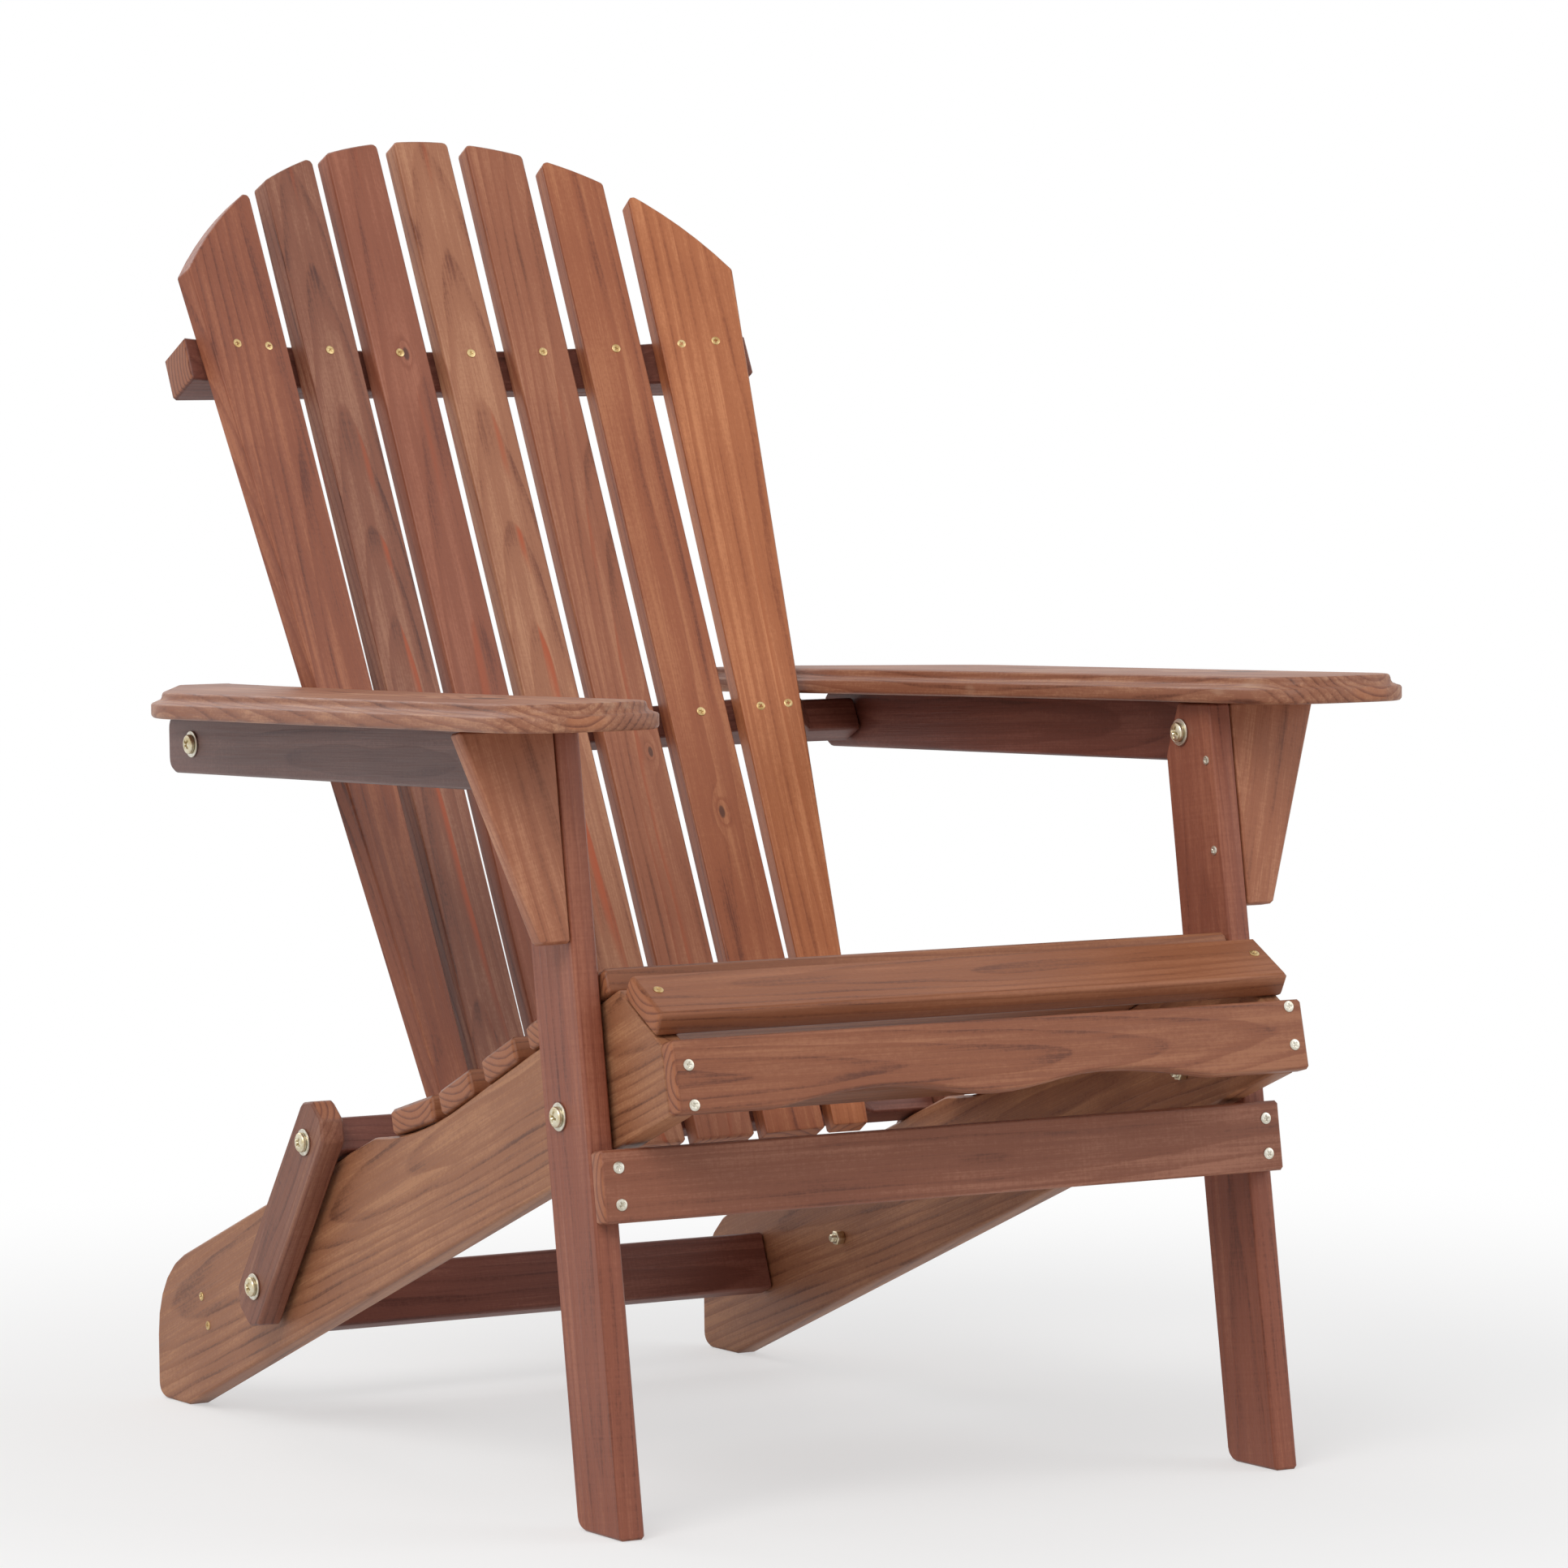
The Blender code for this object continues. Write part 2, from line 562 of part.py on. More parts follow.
def back_slat(index):
    """Straight board laid on the hollow faces of the battens, its top cut on one shared arc."""
    lift = SLAT_SEAT_GAP
    ends = [sum(slat_edges(index, up)) / 2 for up in (SLAT_FOOT, BACK_TOP_CENTRE + BACK_TOP_RADIUS)]
    mean = 2 * BACK_CURVE * sum(ends) / 2
    low, high = (back_point(x, up, batten_face(x) + lift)
                 for x, up in zip(ends, (SLAT_FOOT, BACK_TOP_CENTRE + BACK_TOP_RADIUS)))
    along = (high - low).normalized()
    forward = back_point(0, 0, 1) - back_point(0, 0, 0)
    facing = (forward - Vector((math.tan(mean), 0, 0))).normalized()
    across = along.cross(facing).normalized() * -1
    if across.x < 0:
        across = -across
    normal = facing - along * facing.dot(along)
    normal.normalize()
    length = (high - low).length
    span = BACK_TOP_CENTRE + BACK_TOP_RADIUS - SLAT_FOOT

    def corner(side_index, up):
        edge = slat_edges(index, up)[side_index]
        middle = ends[0] + (ends[1] - ends[0]) * (up - SLAT_FOOT) / span
        return ((edge - middle) / math.cos(mean), (up - SLAT_FOOT) * length / span)

    tops = []
    for side_index in (0, 1):
        up = slat_top(0)
        for _ in range(20):
            up = slat_top(min(abs(slat_edges(index, up)[side_index]), BACK_TOP_RADIUS * 0.98))
        tops.append(up)
    crown = []
    for k in range(5, 0, -1):
        share = k / 6
        up = slat_top(0)
        for _ in range(20):
            edges = slat_edges(index, up)
            up = slat_top(edges[0] + (edges[1] - edges[0]) * share)
        a, b = corner(0, up), corner(1, up)
        crown.append((a[0] + (b[0] - a[0]) * share, a[1]))
    corners = [corner(0, SLAT_FOOT), corner(1, SLAT_FOOT), corner(1, tops[1]), *crown, corner(0, tops[0])]
    radii = [0, 0, SLAT_CORNER] + [0] * len(crown) + [SLAT_CORNER]
    outline = rounded(corners, radii, 3)
    rings = [[low + across * a + along * b + normal * deep for a, b in outline] for deep in (0.0, BOARD)]
    stacked(f"back_slat_{index}", rings, BROWN_WOOD, back, EASE)


for number in range(1, BACK_SLATS + 1):
    back_slat(number)


def batten(name, up, height, curve_half, end_half, rear, end_face):
    """Straight behind, hollow in front; past the slats it steps back to a plain end."""
    steps = 10
    front = []
    for k in range(-steps, steps + 1):
        x = curve_half * k / steps
        front.append((x, batten_face(x) - FIT))
    if end_face is not None:
        left = [(curve_half + BATTEN_SHOULDER, end_face), (end_half, end_face)]
        front = [(-x, d) for x, d in reversed(left)] + front + left
    outline = front + [(end_half, rear), (-end_half, rear)]
    rings = [[back_point(x, level, d) for x, d in outline]
             for level in (up - height / 2, up + height / 2)]
    return stacked(name, rings, RED_WOOD, back, EASE)


low_batten = batten("bottom_rail", 0.0, BATTEN_HEIGHT, LOW_BATTEN_CURVE_HALF, LEG_INNER - FIT,
                    BATTEN_REAR, BATTEN_END_FACE)
mid_batten = batten("mid_batten", PIVOT_C_UP, BATTEN_HEIGHT, MID_BATTEN_CURVE_HALF, LEG_OUTER,
                    BATTEN_REAR, BATTEN_END_FACE)
batten("upper_batten", UPPER_BATTEN_UP, UPPER_BATTEN_HEIGHT, UPPER_BATTEN_HALF, UPPER_BATTEN_HALF,
       UPPER_BATTEN_REAR, None)


# ---------------------------------------------------------------- links
def link_outline():
    start, end = Vector(PIVOT_E), Vector(PIVOT_D)
    along = (end - start).normalized()
    across = Vector((-along.y, along.x))
    half = LINK_WIDTH / 2
    length = (end - start).length
    corners = []
    for a, b in ((-LINK_END, half - LINK_CLIP), (-LINK_END + LINK_CLIP, half),
                 (length + LINK_END - LINK_CLIP, half), (length + LINK_END, half - LINK_CLIP),
                 (length + LINK_END, -half + LINK_CLIP), (length + LINK_END - LINK_CLIP, -half),
                 (-LINK_END + LINK_CLIP, -half), (-LINK_END, -half + LINK_CLIP)):
        corners.append(tuple(start + along * a + across * b))
    return rounded(corners, [0.006] * 8, 2)


for label, side in SIDES:
    link = side_board(f"link_{label}", link_outline(), side * LEG_INNER, side * LEG_OUTER, RED_WOOD, links)
    for pivot in (PIVOT_D, PIVOT_E):
        drill(link, pivot, side * (LEG_INNER - 0.01), side * (LEG_OUTER + 0.01))
    drill(low_batten, PIVOT_D, side * (LEG_INNER - BOLT_BITE), side * (LEG_INNER + 0.01))
    drill(mid_batten, PIVOT_C, side * (RAIL_INNER - BOLT_BITE), side * (RAIL_INNER + 0.01))


# ---------------------------------------------------------------- bolts, washers and lock nuts
def bolt(name, pivot, side, face, outward, tip, body):
    """Pan-head bolt: face is the wood under its washer, outward its head's direction, tip its end."""
    seat = face + outward * (FIT + WASHER_THICKNESS + FIT)
    crown = seat + outward * HEAD_HEIGHT
    profile = [(tip, BOLT_RADIUS * 0.8), (tip + outward * 0.0008, BOLT_RADIUS), (seat, BOLT_RADIUS),
               (seat, HEAD_RADIUS), (seat + outward * HEAD_HEIGHT * 0.45, HEAD_RADIUS * 0.98),
               (seat + outward * HEAD_HEIGHT * 0.85, HEAD_RADIUS * 0.75), (crown, HEAD_RADIUS * 0.40)]
    turned(f"bolt_{name}", profile, pivot, side, GOLD_ZINC, body)
    ring_piece(f"washer_{name}", face + outward * FIT, face + outward * (FIT + WASHER_THICKNESS),
               HOLE_RADIUS, WASHER_RADIUS, pivot, side, ZINC, body)


for label, side in SIDES:
    nut_face = STRINGER_INNER - FIT
    for place, pivot in (("seat_pivot", PIVOT_A), ("link_foot", PIVOT_E)):
        bolt(f"{place}_{label}", pivot, side, LEG_OUTER, 1, nut_face - NUT_HEIGHT - BOLT_TIP, chair)
        ring_piece(f"lock_nut_{place}_{label}", nut_face - NUT_HEIGHT, nut_face, BOLT_RADIUS + FIT,
                   NUT_RADIUS, pivot, side, GOLD_ZINC, chair, 6)
        ring_piece(f"spacer_{place}_{label}", SEAT_HALF_WIDTH + FIT, LEG_INNER - FIT, HOLE_RADIUS,
                   WASHER_RADIUS, pivot, side, ZINC, chair)
    bolt(f"arm_front_{label}", PIVOT_B, side, LEG_INNER, -1, LEG_OUTER - FIT, leg_frame)
    bolt(f"arm_rear_{label}", PIVOT_C, side, RAIL_OUTER, 1, RAIL_INNER - BOLT_BITE + 0.004, back)
    bolt(f"back_foot_{label}", PIVOT_D, side, LEG_OUTER, 1, LEG_INNER - BOLT_BITE + 0.004, back)

# ---------------------------------------------------------------- origin: middle of the footprint
bpy.context.view_layer.update()
graph = bpy.context.evaluated_depsgraph_get()
reach = []
for part in bpy.data.objects:
    if part.type == "MESH" and not part.hide_render:
        evaluated = part.evaluated_get(graph)
        reach += [(evaluated.matrix_world @ Vector(corner)).y for corner in evaluated.bound_box]
chair.location.y = -0.5 * (min(reach) + max(reach))
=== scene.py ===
import json
import math

import bmesh
import bpy
import numpy as np
from mathutils import Matrix, Vector
from mathutils.bvhtree import BVHTree


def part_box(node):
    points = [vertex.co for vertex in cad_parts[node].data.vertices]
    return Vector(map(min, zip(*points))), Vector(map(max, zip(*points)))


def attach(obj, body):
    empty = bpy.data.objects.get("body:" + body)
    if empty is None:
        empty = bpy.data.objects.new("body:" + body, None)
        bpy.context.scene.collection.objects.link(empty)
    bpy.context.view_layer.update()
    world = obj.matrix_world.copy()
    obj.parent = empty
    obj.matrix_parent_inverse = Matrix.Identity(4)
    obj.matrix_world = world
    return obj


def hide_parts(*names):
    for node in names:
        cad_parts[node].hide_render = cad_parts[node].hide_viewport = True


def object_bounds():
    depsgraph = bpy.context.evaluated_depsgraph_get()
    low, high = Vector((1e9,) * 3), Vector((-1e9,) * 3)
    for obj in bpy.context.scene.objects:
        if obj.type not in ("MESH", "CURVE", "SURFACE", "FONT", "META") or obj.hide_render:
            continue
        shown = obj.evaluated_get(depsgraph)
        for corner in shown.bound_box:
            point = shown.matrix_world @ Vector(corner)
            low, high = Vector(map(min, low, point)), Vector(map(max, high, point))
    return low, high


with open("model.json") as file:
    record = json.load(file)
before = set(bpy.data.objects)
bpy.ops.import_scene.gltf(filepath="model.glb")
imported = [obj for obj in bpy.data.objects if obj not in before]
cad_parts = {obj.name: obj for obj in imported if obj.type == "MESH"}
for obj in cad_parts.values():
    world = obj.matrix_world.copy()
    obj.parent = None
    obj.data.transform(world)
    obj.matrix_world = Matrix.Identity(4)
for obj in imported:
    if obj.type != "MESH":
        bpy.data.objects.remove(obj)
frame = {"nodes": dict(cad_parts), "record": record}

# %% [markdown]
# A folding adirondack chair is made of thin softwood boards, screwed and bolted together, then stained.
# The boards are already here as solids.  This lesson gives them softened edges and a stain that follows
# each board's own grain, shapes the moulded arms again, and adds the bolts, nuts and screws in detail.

cad_low, cad_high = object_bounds()
nodes = frame["nodes"]
hinges = {joint["name"]: joint for joint in frame["record"]["behaviour"]["joints"]}
body_of = {node: body for body, held in frame["record"]["behaviour"]["bodies"].items() for node in held}
slot_of = {part["node"]: part["material_slot"] for part in frame["record"]["subparts"]}
boards = [name for name in nodes if slot_of[name].endswith("wood")]
print(len(nodes), "nodes,", len(boards), "of them boards;", "height", round(cad_high.z, 3))

# %% [markdown]
# ## Where the light and the eye are
# The chair stands on a pale floor that fades into a white room.  A long lens from a low, three-quarter
# view keeps the boards' edges straight.  One wide lamp high on the left shapes the boards, and a weaker
# one on the right lifts the shadows.  Neither is bright enough to bleach a stain.

# %% Camera
view_azimuth, view_pitch, view_roll = math.radians(-30.10), math.radians(-3.195), math.radians(-0.662)
eye = Vector((-2.3712, -4.2305, 0.7498))
ahead = Vector((math.sin(-view_azimuth) * math.cos(view_pitch),
                math.cos(view_azimuth) * math.cos(view_pitch), math.sin(view_pitch)))
camera_data = bpy.data.cameras.new("three_quarter_lens")
camera_data.sensor_width = 36.0
camera_data.lens = 152.0
camera_data.clip_end = 100.0
camera = bpy.data.objects.new("three_quarter_lens", camera_data)
bpy.context.scene.collection.objects.link(camera)
turn = ahead.to_track_quat("-Z", "Y").to_matrix() @ Matrix.Rotation(view_roll, 3, "Z")
camera.matrix_world = Matrix.Translation(eye) @ turn.to_4x4()
bpy.context.scene.camera = camera
print("eye to chair", round((eye - (cad_low + cad_high) / 2).length, 2), "m")


# %% Lamps, room and floor
def lamp(name, place, aim, size, power, colour=(1, 1, 1)):
    """A square area lamp at a place, turned towards a point; its size is in metres, its power in watts."""
    data = bpy.data.lights.new(name, "AREA")
    data.size = size
    data.energy = power
    data.color = colour
    made = bpy.data.objects.new(name, data)
    bpy.context.scene.collection.objects.link(made)
    made.location = place
    made.rotation_euler = (Vector(aim) - Vector(place)).to_track_quat("-Z", "Y").to_euler()
    return made


middle = (cad_low + cad_high) / 2
lamp("window_left", (-3.0, -2.2, 3.6), middle, 2.6, 112.0, (1.0, 0.985, 0.96))
lamp("window_right", (3.4, -2.4, 2.4), middle, 3.0, 40.0, (0.97, 0.985, 1.0))
lamp("window_behind", (-0.6, 3.6, 3.2), middle, 3.0, 40.0)


def seen_ray(tree):
    """1 for rays from the eye, from a mirror or through glass, and 0 for light falling on things."""
    path = tree.nodes.new("ShaderNodeLightPath")
    total = None
    for ray in ("Is Camera Ray", "Is Glossy Ray", "Is Transmission Ray"):
        if total is None:
            total = path.outputs[ray]
            continue
        larger = tree.nodes.new("ShaderNodeMath")
        larger.operation = "MAXIMUM"
        tree.links.new(total, larger.inputs[0])
        tree.links.new(path.outputs[ray], larger.inputs[1])
        total = larger.outputs[0]
    return total


scene = bpy.context.scene
scene.view_settings.view_transform = "Standard"
room = bpy.data.worlds.new("white_room")
room.use_nodes = True
scene.world = room
tree = room.node_tree
backdrop = tree.nodes["Background"]
backdrop.inputs["Color"].default_value = (1, 1, 1, 1)
strength = tree.nodes.new("ShaderNodeMapRange")
strength.inputs["To Min"].default_value = 0.42
strength.inputs["To Max"].default_value = 1.0
tree.links.new(seen_ray(tree), strength.inputs["Value"])
tree.links.new(strength.outputs["Result"], backdrop.inputs["Strength"])

floor_half = 9.0
floor_mesh = bpy.data.meshes.new("floor")
floor_mesh.from_pydata([(-floor_half, -floor_half, 0), (floor_half, -floor_half, 0),
                        (floor_half, floor_half, 0), (-floor_half, floor_half, 0)], [], [(0, 1, 2, 3)])
floor = bpy.data.objects.new("floor", floor_mesh)
scene.collection.objects.link(floor)
floor.location.z = -0.0004
paper = bpy.data.materials.new("white_floor")
paper.use_nodes = True
tree = paper.node_tree
matt = tree.nodes["Principled BSDF"]
matt.inputs["Base Color"].default_value = (0.86, 0.86, 0.86, 1)
matt.inputs["Roughness"].default_value = 0.9
floor_point = tree.nodes.new("ShaderNodeTexCoord")
distance = tree.nodes.new("ShaderNodeVectorMath")
distance.operation = "LENGTH"
fade = tree.nodes.new("ShaderNodeMapRange")
fade.interpolation_type = "SMOOTHSTEP"
fade.inputs["From Min"].default_value = 0.45
fade.inputs["From Max"].default_value = 1.7
fade.inputs["To Min"].default_value = 0.52
far_off = tree.nodes.new("ShaderNodeMath")
far_off.operation = "MULTIPLY"
glow = tree.nodes.new("ShaderNodeEmission")
blend = tree.nodes.new("ShaderNodeMixShader")
tree.links.new(floor_point.outputs["Object"], distance.inputs[0])
tree.links.new(distance.outputs["Value"], fade.inputs["Value"])
tree.links.new(fade.outputs["Result"], far_off.inputs[0])
tree.links.new(seen_ray(tree), far_off.inputs[1])
tree.links.new(far_off.outputs[0], blend.inputs[0])
tree.links.new(matt.outputs[0], blend.inputs[1])
tree.links.new(glow.outputs[0], blend.inputs[2])
tree.links.new(blend.outputs[0], tree.nodes["Material Output"].inputs["Surface"])
floor_mesh.materials.append(paper)
print("floor", 2 * floor_half, "m across, fading to white from", fade.inputs["From Min"].default_value, "m")

# %% [markdown]
# ## A board's own grain
# Sawn softwood shows slices through a log.  The pattern on a face is where the face cuts the growth
# rings, so the stain is worked out in three dimensions: a log's core runs along the board, a little way
# outside it and slightly askew, and each point's distance from that core says which ring it is in.
# Arches, straight lines and end grain then all come from one rule, as they do in a tree.
# Noise stretched along the board adds fibres and streaks, and a soft bump beside the core makes a knot.


# %% Small helpers for node graphs
def colour(red, green, blue):
    """Screen colour out of 255 as the linear colour that a shader works in."""
    return (*[((c / 255 + 0.055) / 1.055) ** 2.4 if c > 10 else c / 255 / 12.92 for c in (red, green, blue)], 1)


class Graph:
    """A node tree with short words for sums and mixes; sockets and plain numbers can be mixed freely."""

    def __init__(self, tree):
        self.tree = tree

    def put(self, kind, out=0, **inputs):
        made = self.tree.nodes.new("ShaderNode" + kind)
        for name, value in inputs.items():
            if name.startswith("set_"):
                setattr(made, name[4:], value)
        for name, value in inputs.items():
            if name.startswith("set_"):
                continue
            socket = made.inputs[int(name[1:])] if name[0] == "i" and name[1:].isdigit() else made.inputs[name]
            if isinstance(value, bpy.types.NodeSocket):
                self.tree.links.new(value, socket)
            else:
                socket.default_value = value
        return made.outputs[out]

    def sum(self, operation, a, b=0.0, c=0.0):
        return self.put("Math", set_operation=operation, i0=a, i1=b, i2=c)

    def vec(self, operation, a, b=(0, 0, 0), out=0):
        return self.put("VectorMath", out, set_operation=operation, i0=a, i1=b)

    def noise(self, vector, stretch, detail=2.0, rough=0.5, out=0):
        """Noise between 0 and 1 about 0.5; stretch is its lumps per metre along, across and through."""
        return self.put("TexNoise", out, Vector=self.vec("MULTIPLY", vector, stretch), Scale=1.0,
                        Detail=detail, Roughness=rough)

    def steps(self, value, low, high, to_low=0.0, to_high=1.0):
        return self.put("MapRange", set_interpolation_type="SMOOTHSTEP", Value=value,
                        **{"From Min": low, "From Max": high, "To Min": to_low, "To Max": to_high})

    def mix(self, share, a, b):
        return self.put("Mix", 2, set_data_type="RGBA", i0=share, i6=a, i7=b)


# %% The stain, as one group that every board uses
def stain_group():
    """Rings: distance from a skewed core line, warped by noise, cut into equal steps; then stain colours."""
    tree = bpy.data.node_groups.new("stained_softwood", "ShaderNodeTree")
    face = tree.interface
    for name, kind in (("Grain", "Vector"), ("Core", "Vector"), ("Skew", "Vector"), ("Knot", "Vector"),
                       ("Knot Pull", "Float"), ("Ring", "Float"), ("Contrast", "Float"), ("Flame", "Float"),
                       ("Saw Marks", "Float"), ("Half Length", "Float"), ("Worn", "Float"),
                       ("Dark", "Color"), ("Mid", "Color"), ("Light", "Color"), ("Flame Colour", "Color")):
        face.new_socket(name=name, in_out="INPUT", socket_type=f"NodeSocket{kind}")
    for name, kind in (("Color", "Color"), ("Roughness", "Float"), ("Normal", "Vector")):
        face.new_socket(name=name, in_out="OUTPUT", socket_type=f"NodeSocket{kind}")
    g = Graph(tree)
    given = tree.nodes.new("NodeGroupInput").outputs
    p = given["Grain"]
    bend = g.vec("SUBTRACT", g.noise(p, (1.7, 6.0, 6.0), 1.5, out=1), (0.5, 0.5, 0.5))
    ripple = g.vec("SUBTRACT", g.noise(p, (7.0, 30.0, 30.0), 2.0, out=1), (0.5, 0.5, 0.5))
    warped = g.vec("ADD", p, g.vec("ADD", g.vec("MULTIPLY", bend, (0.0, 0.034, 0.034)),
                                   g.vec("MULTIPLY", ripple, (0.0, 0.005, 0.005))))
    along = g.put("SeparateXYZ", 0, Vector=p)
    lean = g.vec("MULTIPLY", given["Skew"], g.put("CombineXYZ", i0=along, i1=along, i2=along))
    core = g.vec("ADD", given["Core"], lean)
    from_core = g.vec("MULTIPLY", g.vec("SUBTRACT", warped, core), (0.0, 1.0, 1.0))
    radius = g.vec("LENGTH", from_core, out=1)
    near_knot = g.vec("MULTIPLY", g.vec("SUBTRACT", p, given["Knot"]), (0.45, 1.0, 0.0))
    knot_size = g.put("SeparateXYZ", 2, Vector=given["Knot"])
    knot_reach = g.sum("DIVIDE", g.vec("LENGTH", near_knot, out=1), g.sum("MAXIMUM", knot_size, 0.001))
    knot = g.sum("EXPONENT", g.sum("MULTIPLY", g.sum("POWER", knot_reach, 2.0), -1.0))
    pulled = g.sum("MULTIPLY", knot, given["Knot Pull"])
    rings = g.sum("FRACT", g.sum("ADD", g.sum("DIVIDE", radius, given["Ring"]), pulled))
    late = g.sum("MULTIPLY", g.steps(rings, 0.45, 0.90), g.steps(rings, 0.91, 1.0, 1.0, 0.0))
    fibre = g.noise(p, (14.0, 950.0, 950.0), 2.0, 0.6)
    streak = g.noise(p, (3.0, 120.0, 120.0), 3.0, 0.65)
    blotch = g.noise(p, (7.0, 13.0, 13.0), 2.5, 0.6)
    fuzz = g.noise(p, (260.0, 420.0, 420.0), 2.0, 0.7)
    saw = g.noise(p, (520.0, 9.0, 9.0), 1.0, 0.4)
    tone = g.sum("MULTIPLY_ADD", g.sum("SUBTRACT", 0.45, late), given["Contrast"], 0.5)
    tone = g.sum("MULTIPLY_ADD", g.sum("SUBTRACT", fibre, 0.5), 0.55, tone)
    tone = g.sum("MULTIPLY_ADD", g.sum("SUBTRACT", streak, 0.5), 1.0, tone)
    tone = g.sum("MULTIPLY_ADD", g.sum("SUBTRACT", blotch, 0.5), 0.85, tone)
    tone = g.sum("MULTIPLY_ADD", g.sum("SUBTRACT", fuzz, 0.5), 0.45, tone)
    sawn = g.sum("MULTIPLY", g.sum("SUBTRACT", saw, 0.5), given["Saw Marks"])
    tone = g.sum("MULTIPLY_ADD", sawn, 0.7, tone)
    shade = g.mix(g.steps(tone, 0.0, 0.5), given["Dark"], given["Mid"])
    shade = g.mix(g.steps(tone, 0.5, 1.0), shade, given["Light"])
    flame = g.sum("MULTIPLY", g.steps(g.noise(p, (2.2, 60.0, 60.0), 2.0), 0.55, 0.66), late)
    shade = g.mix(g.sum("MULTIPLY", flame, given["Flame"]), shade, given["Flame Colour"])
    heart = g.sum("MULTIPLY", g.steps(knot, 0.80, 0.93), g.steps(given["Knot Pull"], 0.5, 1.0))
    shade = g.mix(g.sum("MULTIPLY", heart, 0.75), shade, colour(58, 34, 30))
    worn = g.sum("MULTIPLY", g.steps(g.noise(p, (9.0, 30.0, 30.0), 3.0, 0.65), 0.58, 0.70), given["Worn"])
    shade = g.mix(worn, shade, colour(196, 158, 130))
    end = g.steps(g.sum("SUBTRACT", g.sum("ABSOLUTE", along), given["Half Length"]), -0.0014, -0.0004)
    end_grain = g.mix(late, colour(176, 112, 76), colour(120, 66, 46))
    shade = g.mix(g.sum("MULTIPLY", end, 0.55), shade, end_grain)
    nap = g.sum("ADD", g.sum("MULTIPLY", fibre, 0.7), g.sum("MULTIPLY", fuzz, 0.35))
    height = g.sum("ADD", g.sum("MULTIPLY", late, 0.35), nap)
    height = g.sum("MULTIPLY_ADD", saw, given["Saw Marks"], height)
    bump = g.put("Bump", Strength=0.45, Distance=0.0005, Height=height)
    satin = g.sum("MULTIPLY_ADD", g.sum("SUBTRACT", fibre, 0.5), 0.35, 0.50)
    out = tree.nodes.new("NodeGroupOutput")
    tree.links.new(shade, out.inputs["Color"])
    tree.links.new(satin, out.inputs["Roughness"])
    tree.links.new(bump, out.inputs["Normal"])
    return tree


STAIN = stain_group()
print("stain group with", len(STAIN.nodes), "nodes")


# %% A material laid along one board
def board_frame(mesh):
    """Centre and axes of a board: the area-weighted spread of its faces is widest along the grain and
    narrowest through the thickness."""
    count = len(mesh.polygons)
    centres, areas = np.empty(count * 3), np.empty(count)
    mesh.polygons.foreach_get("center", centres)
    mesh.polygons.foreach_get("area", areas)
    corners = np.empty(len(mesh.vertices) * 3)
    mesh.vertices.foreach_get("co", corners)
    centres, corners = centres.reshape(-1, 3), corners.reshape(-1, 3)
    mean = (centres * areas[:, None]).sum(0) / areas.sum()
    spread = ((centres - mean) * areas[:, None]).T @ (centres - mean)
    axes = np.linalg.eigh(spread)[1][:, ::-1]
    axes *= np.where(axes[np.abs(axes).argmax(0), range(3)] < 0, -1.0, 1.0)
    axes[:, 2] = np.cross(axes[:, 0], axes[:, 1])
    local = (corners - mean) @ axes
    low, high = local.min(0), local.max(0)
    return mean + axes @ ((low + high) / 2), axes, (high - low) / 2


def stain(name, mesh, dark, mid, light, core=(0.0, 0.05), skew=(0.0, 0.0), ring=0.005, contrast=0.5,
          flame=0.0, flame_colour=(178, 84, 48), saw=0.15, knot=(0, 0, 0.01), knot_pull=0.0, worn=0.0):
    """The stain on one board, with its grain turned along the board and its own log.  The core is across
    and through from the board's middle, the skew its drift per metre, and the knot is along, across, size."""
    centre, axes, half = board_frame(mesh)
    made = bpy.data.materials.new(name + "_stain")
    made.use_nodes = True
    tree = made.node_tree
    place = tree.nodes.new("ShaderNodeTexCoord")
    lay = tree.nodes.new("ShaderNodeMapping")
    lay.vector_type = "TEXTURE"
    lay.inputs["Location"].default_value = centre
    lay.inputs["Rotation"].default_value = Matrix(axes.tolist()).to_euler("XYZ")
    group = tree.nodes.new("ShaderNodeGroup")
    group.node_tree = STAIN
    values = {"Core": (0, *core), "Skew": (0, *skew), "Knot": knot, "Knot Pull": knot_pull, "Ring": ring,
              "Contrast": contrast, "Flame": flame, "Saw Marks": saw, "Half Length": half[0], "Worn": worn,
              "Dark": colour(*dark), "Mid": colour(*mid), "Light": colour(*light),
              "Flame Colour": colour(*flame_colour)}
    for key, value in values.items():
        group.inputs[key].default_value = value
    shader = tree.nodes["Principled BSDF"]
    shader.inputs["Coat Weight"].default_value = 0.06
    shader.inputs["Coat Roughness"].default_value = 0.35
    shader.inputs["Specular IOR Level"].default_value = 0.35
    tree.links.new(place.outputs["Object"], lay.inputs["Vector"])
    tree.links.new(lay.outputs["Vector"], group.inputs["Grain"])
    tree.links.new(group.outputs["Color"], shader.inputs["Base Color"])
    tree.links.new(group.outputs["Roughness"], shader.inputs["Roughness"])
    tree.links.new(group.outputs["Normal"], shader.inputs["Normal"])
    return made


# %% [markdown]
# ## Colours, board by board
# No two boards take a stain alike: heartwood goes purple-brown, sapwood goes orange, and rough sawn
# faces hold more of it than planed ones.  Each board gets three stain colours, its own place in the
# log, and how strongly its rings, its resin flames and its saw marks show.

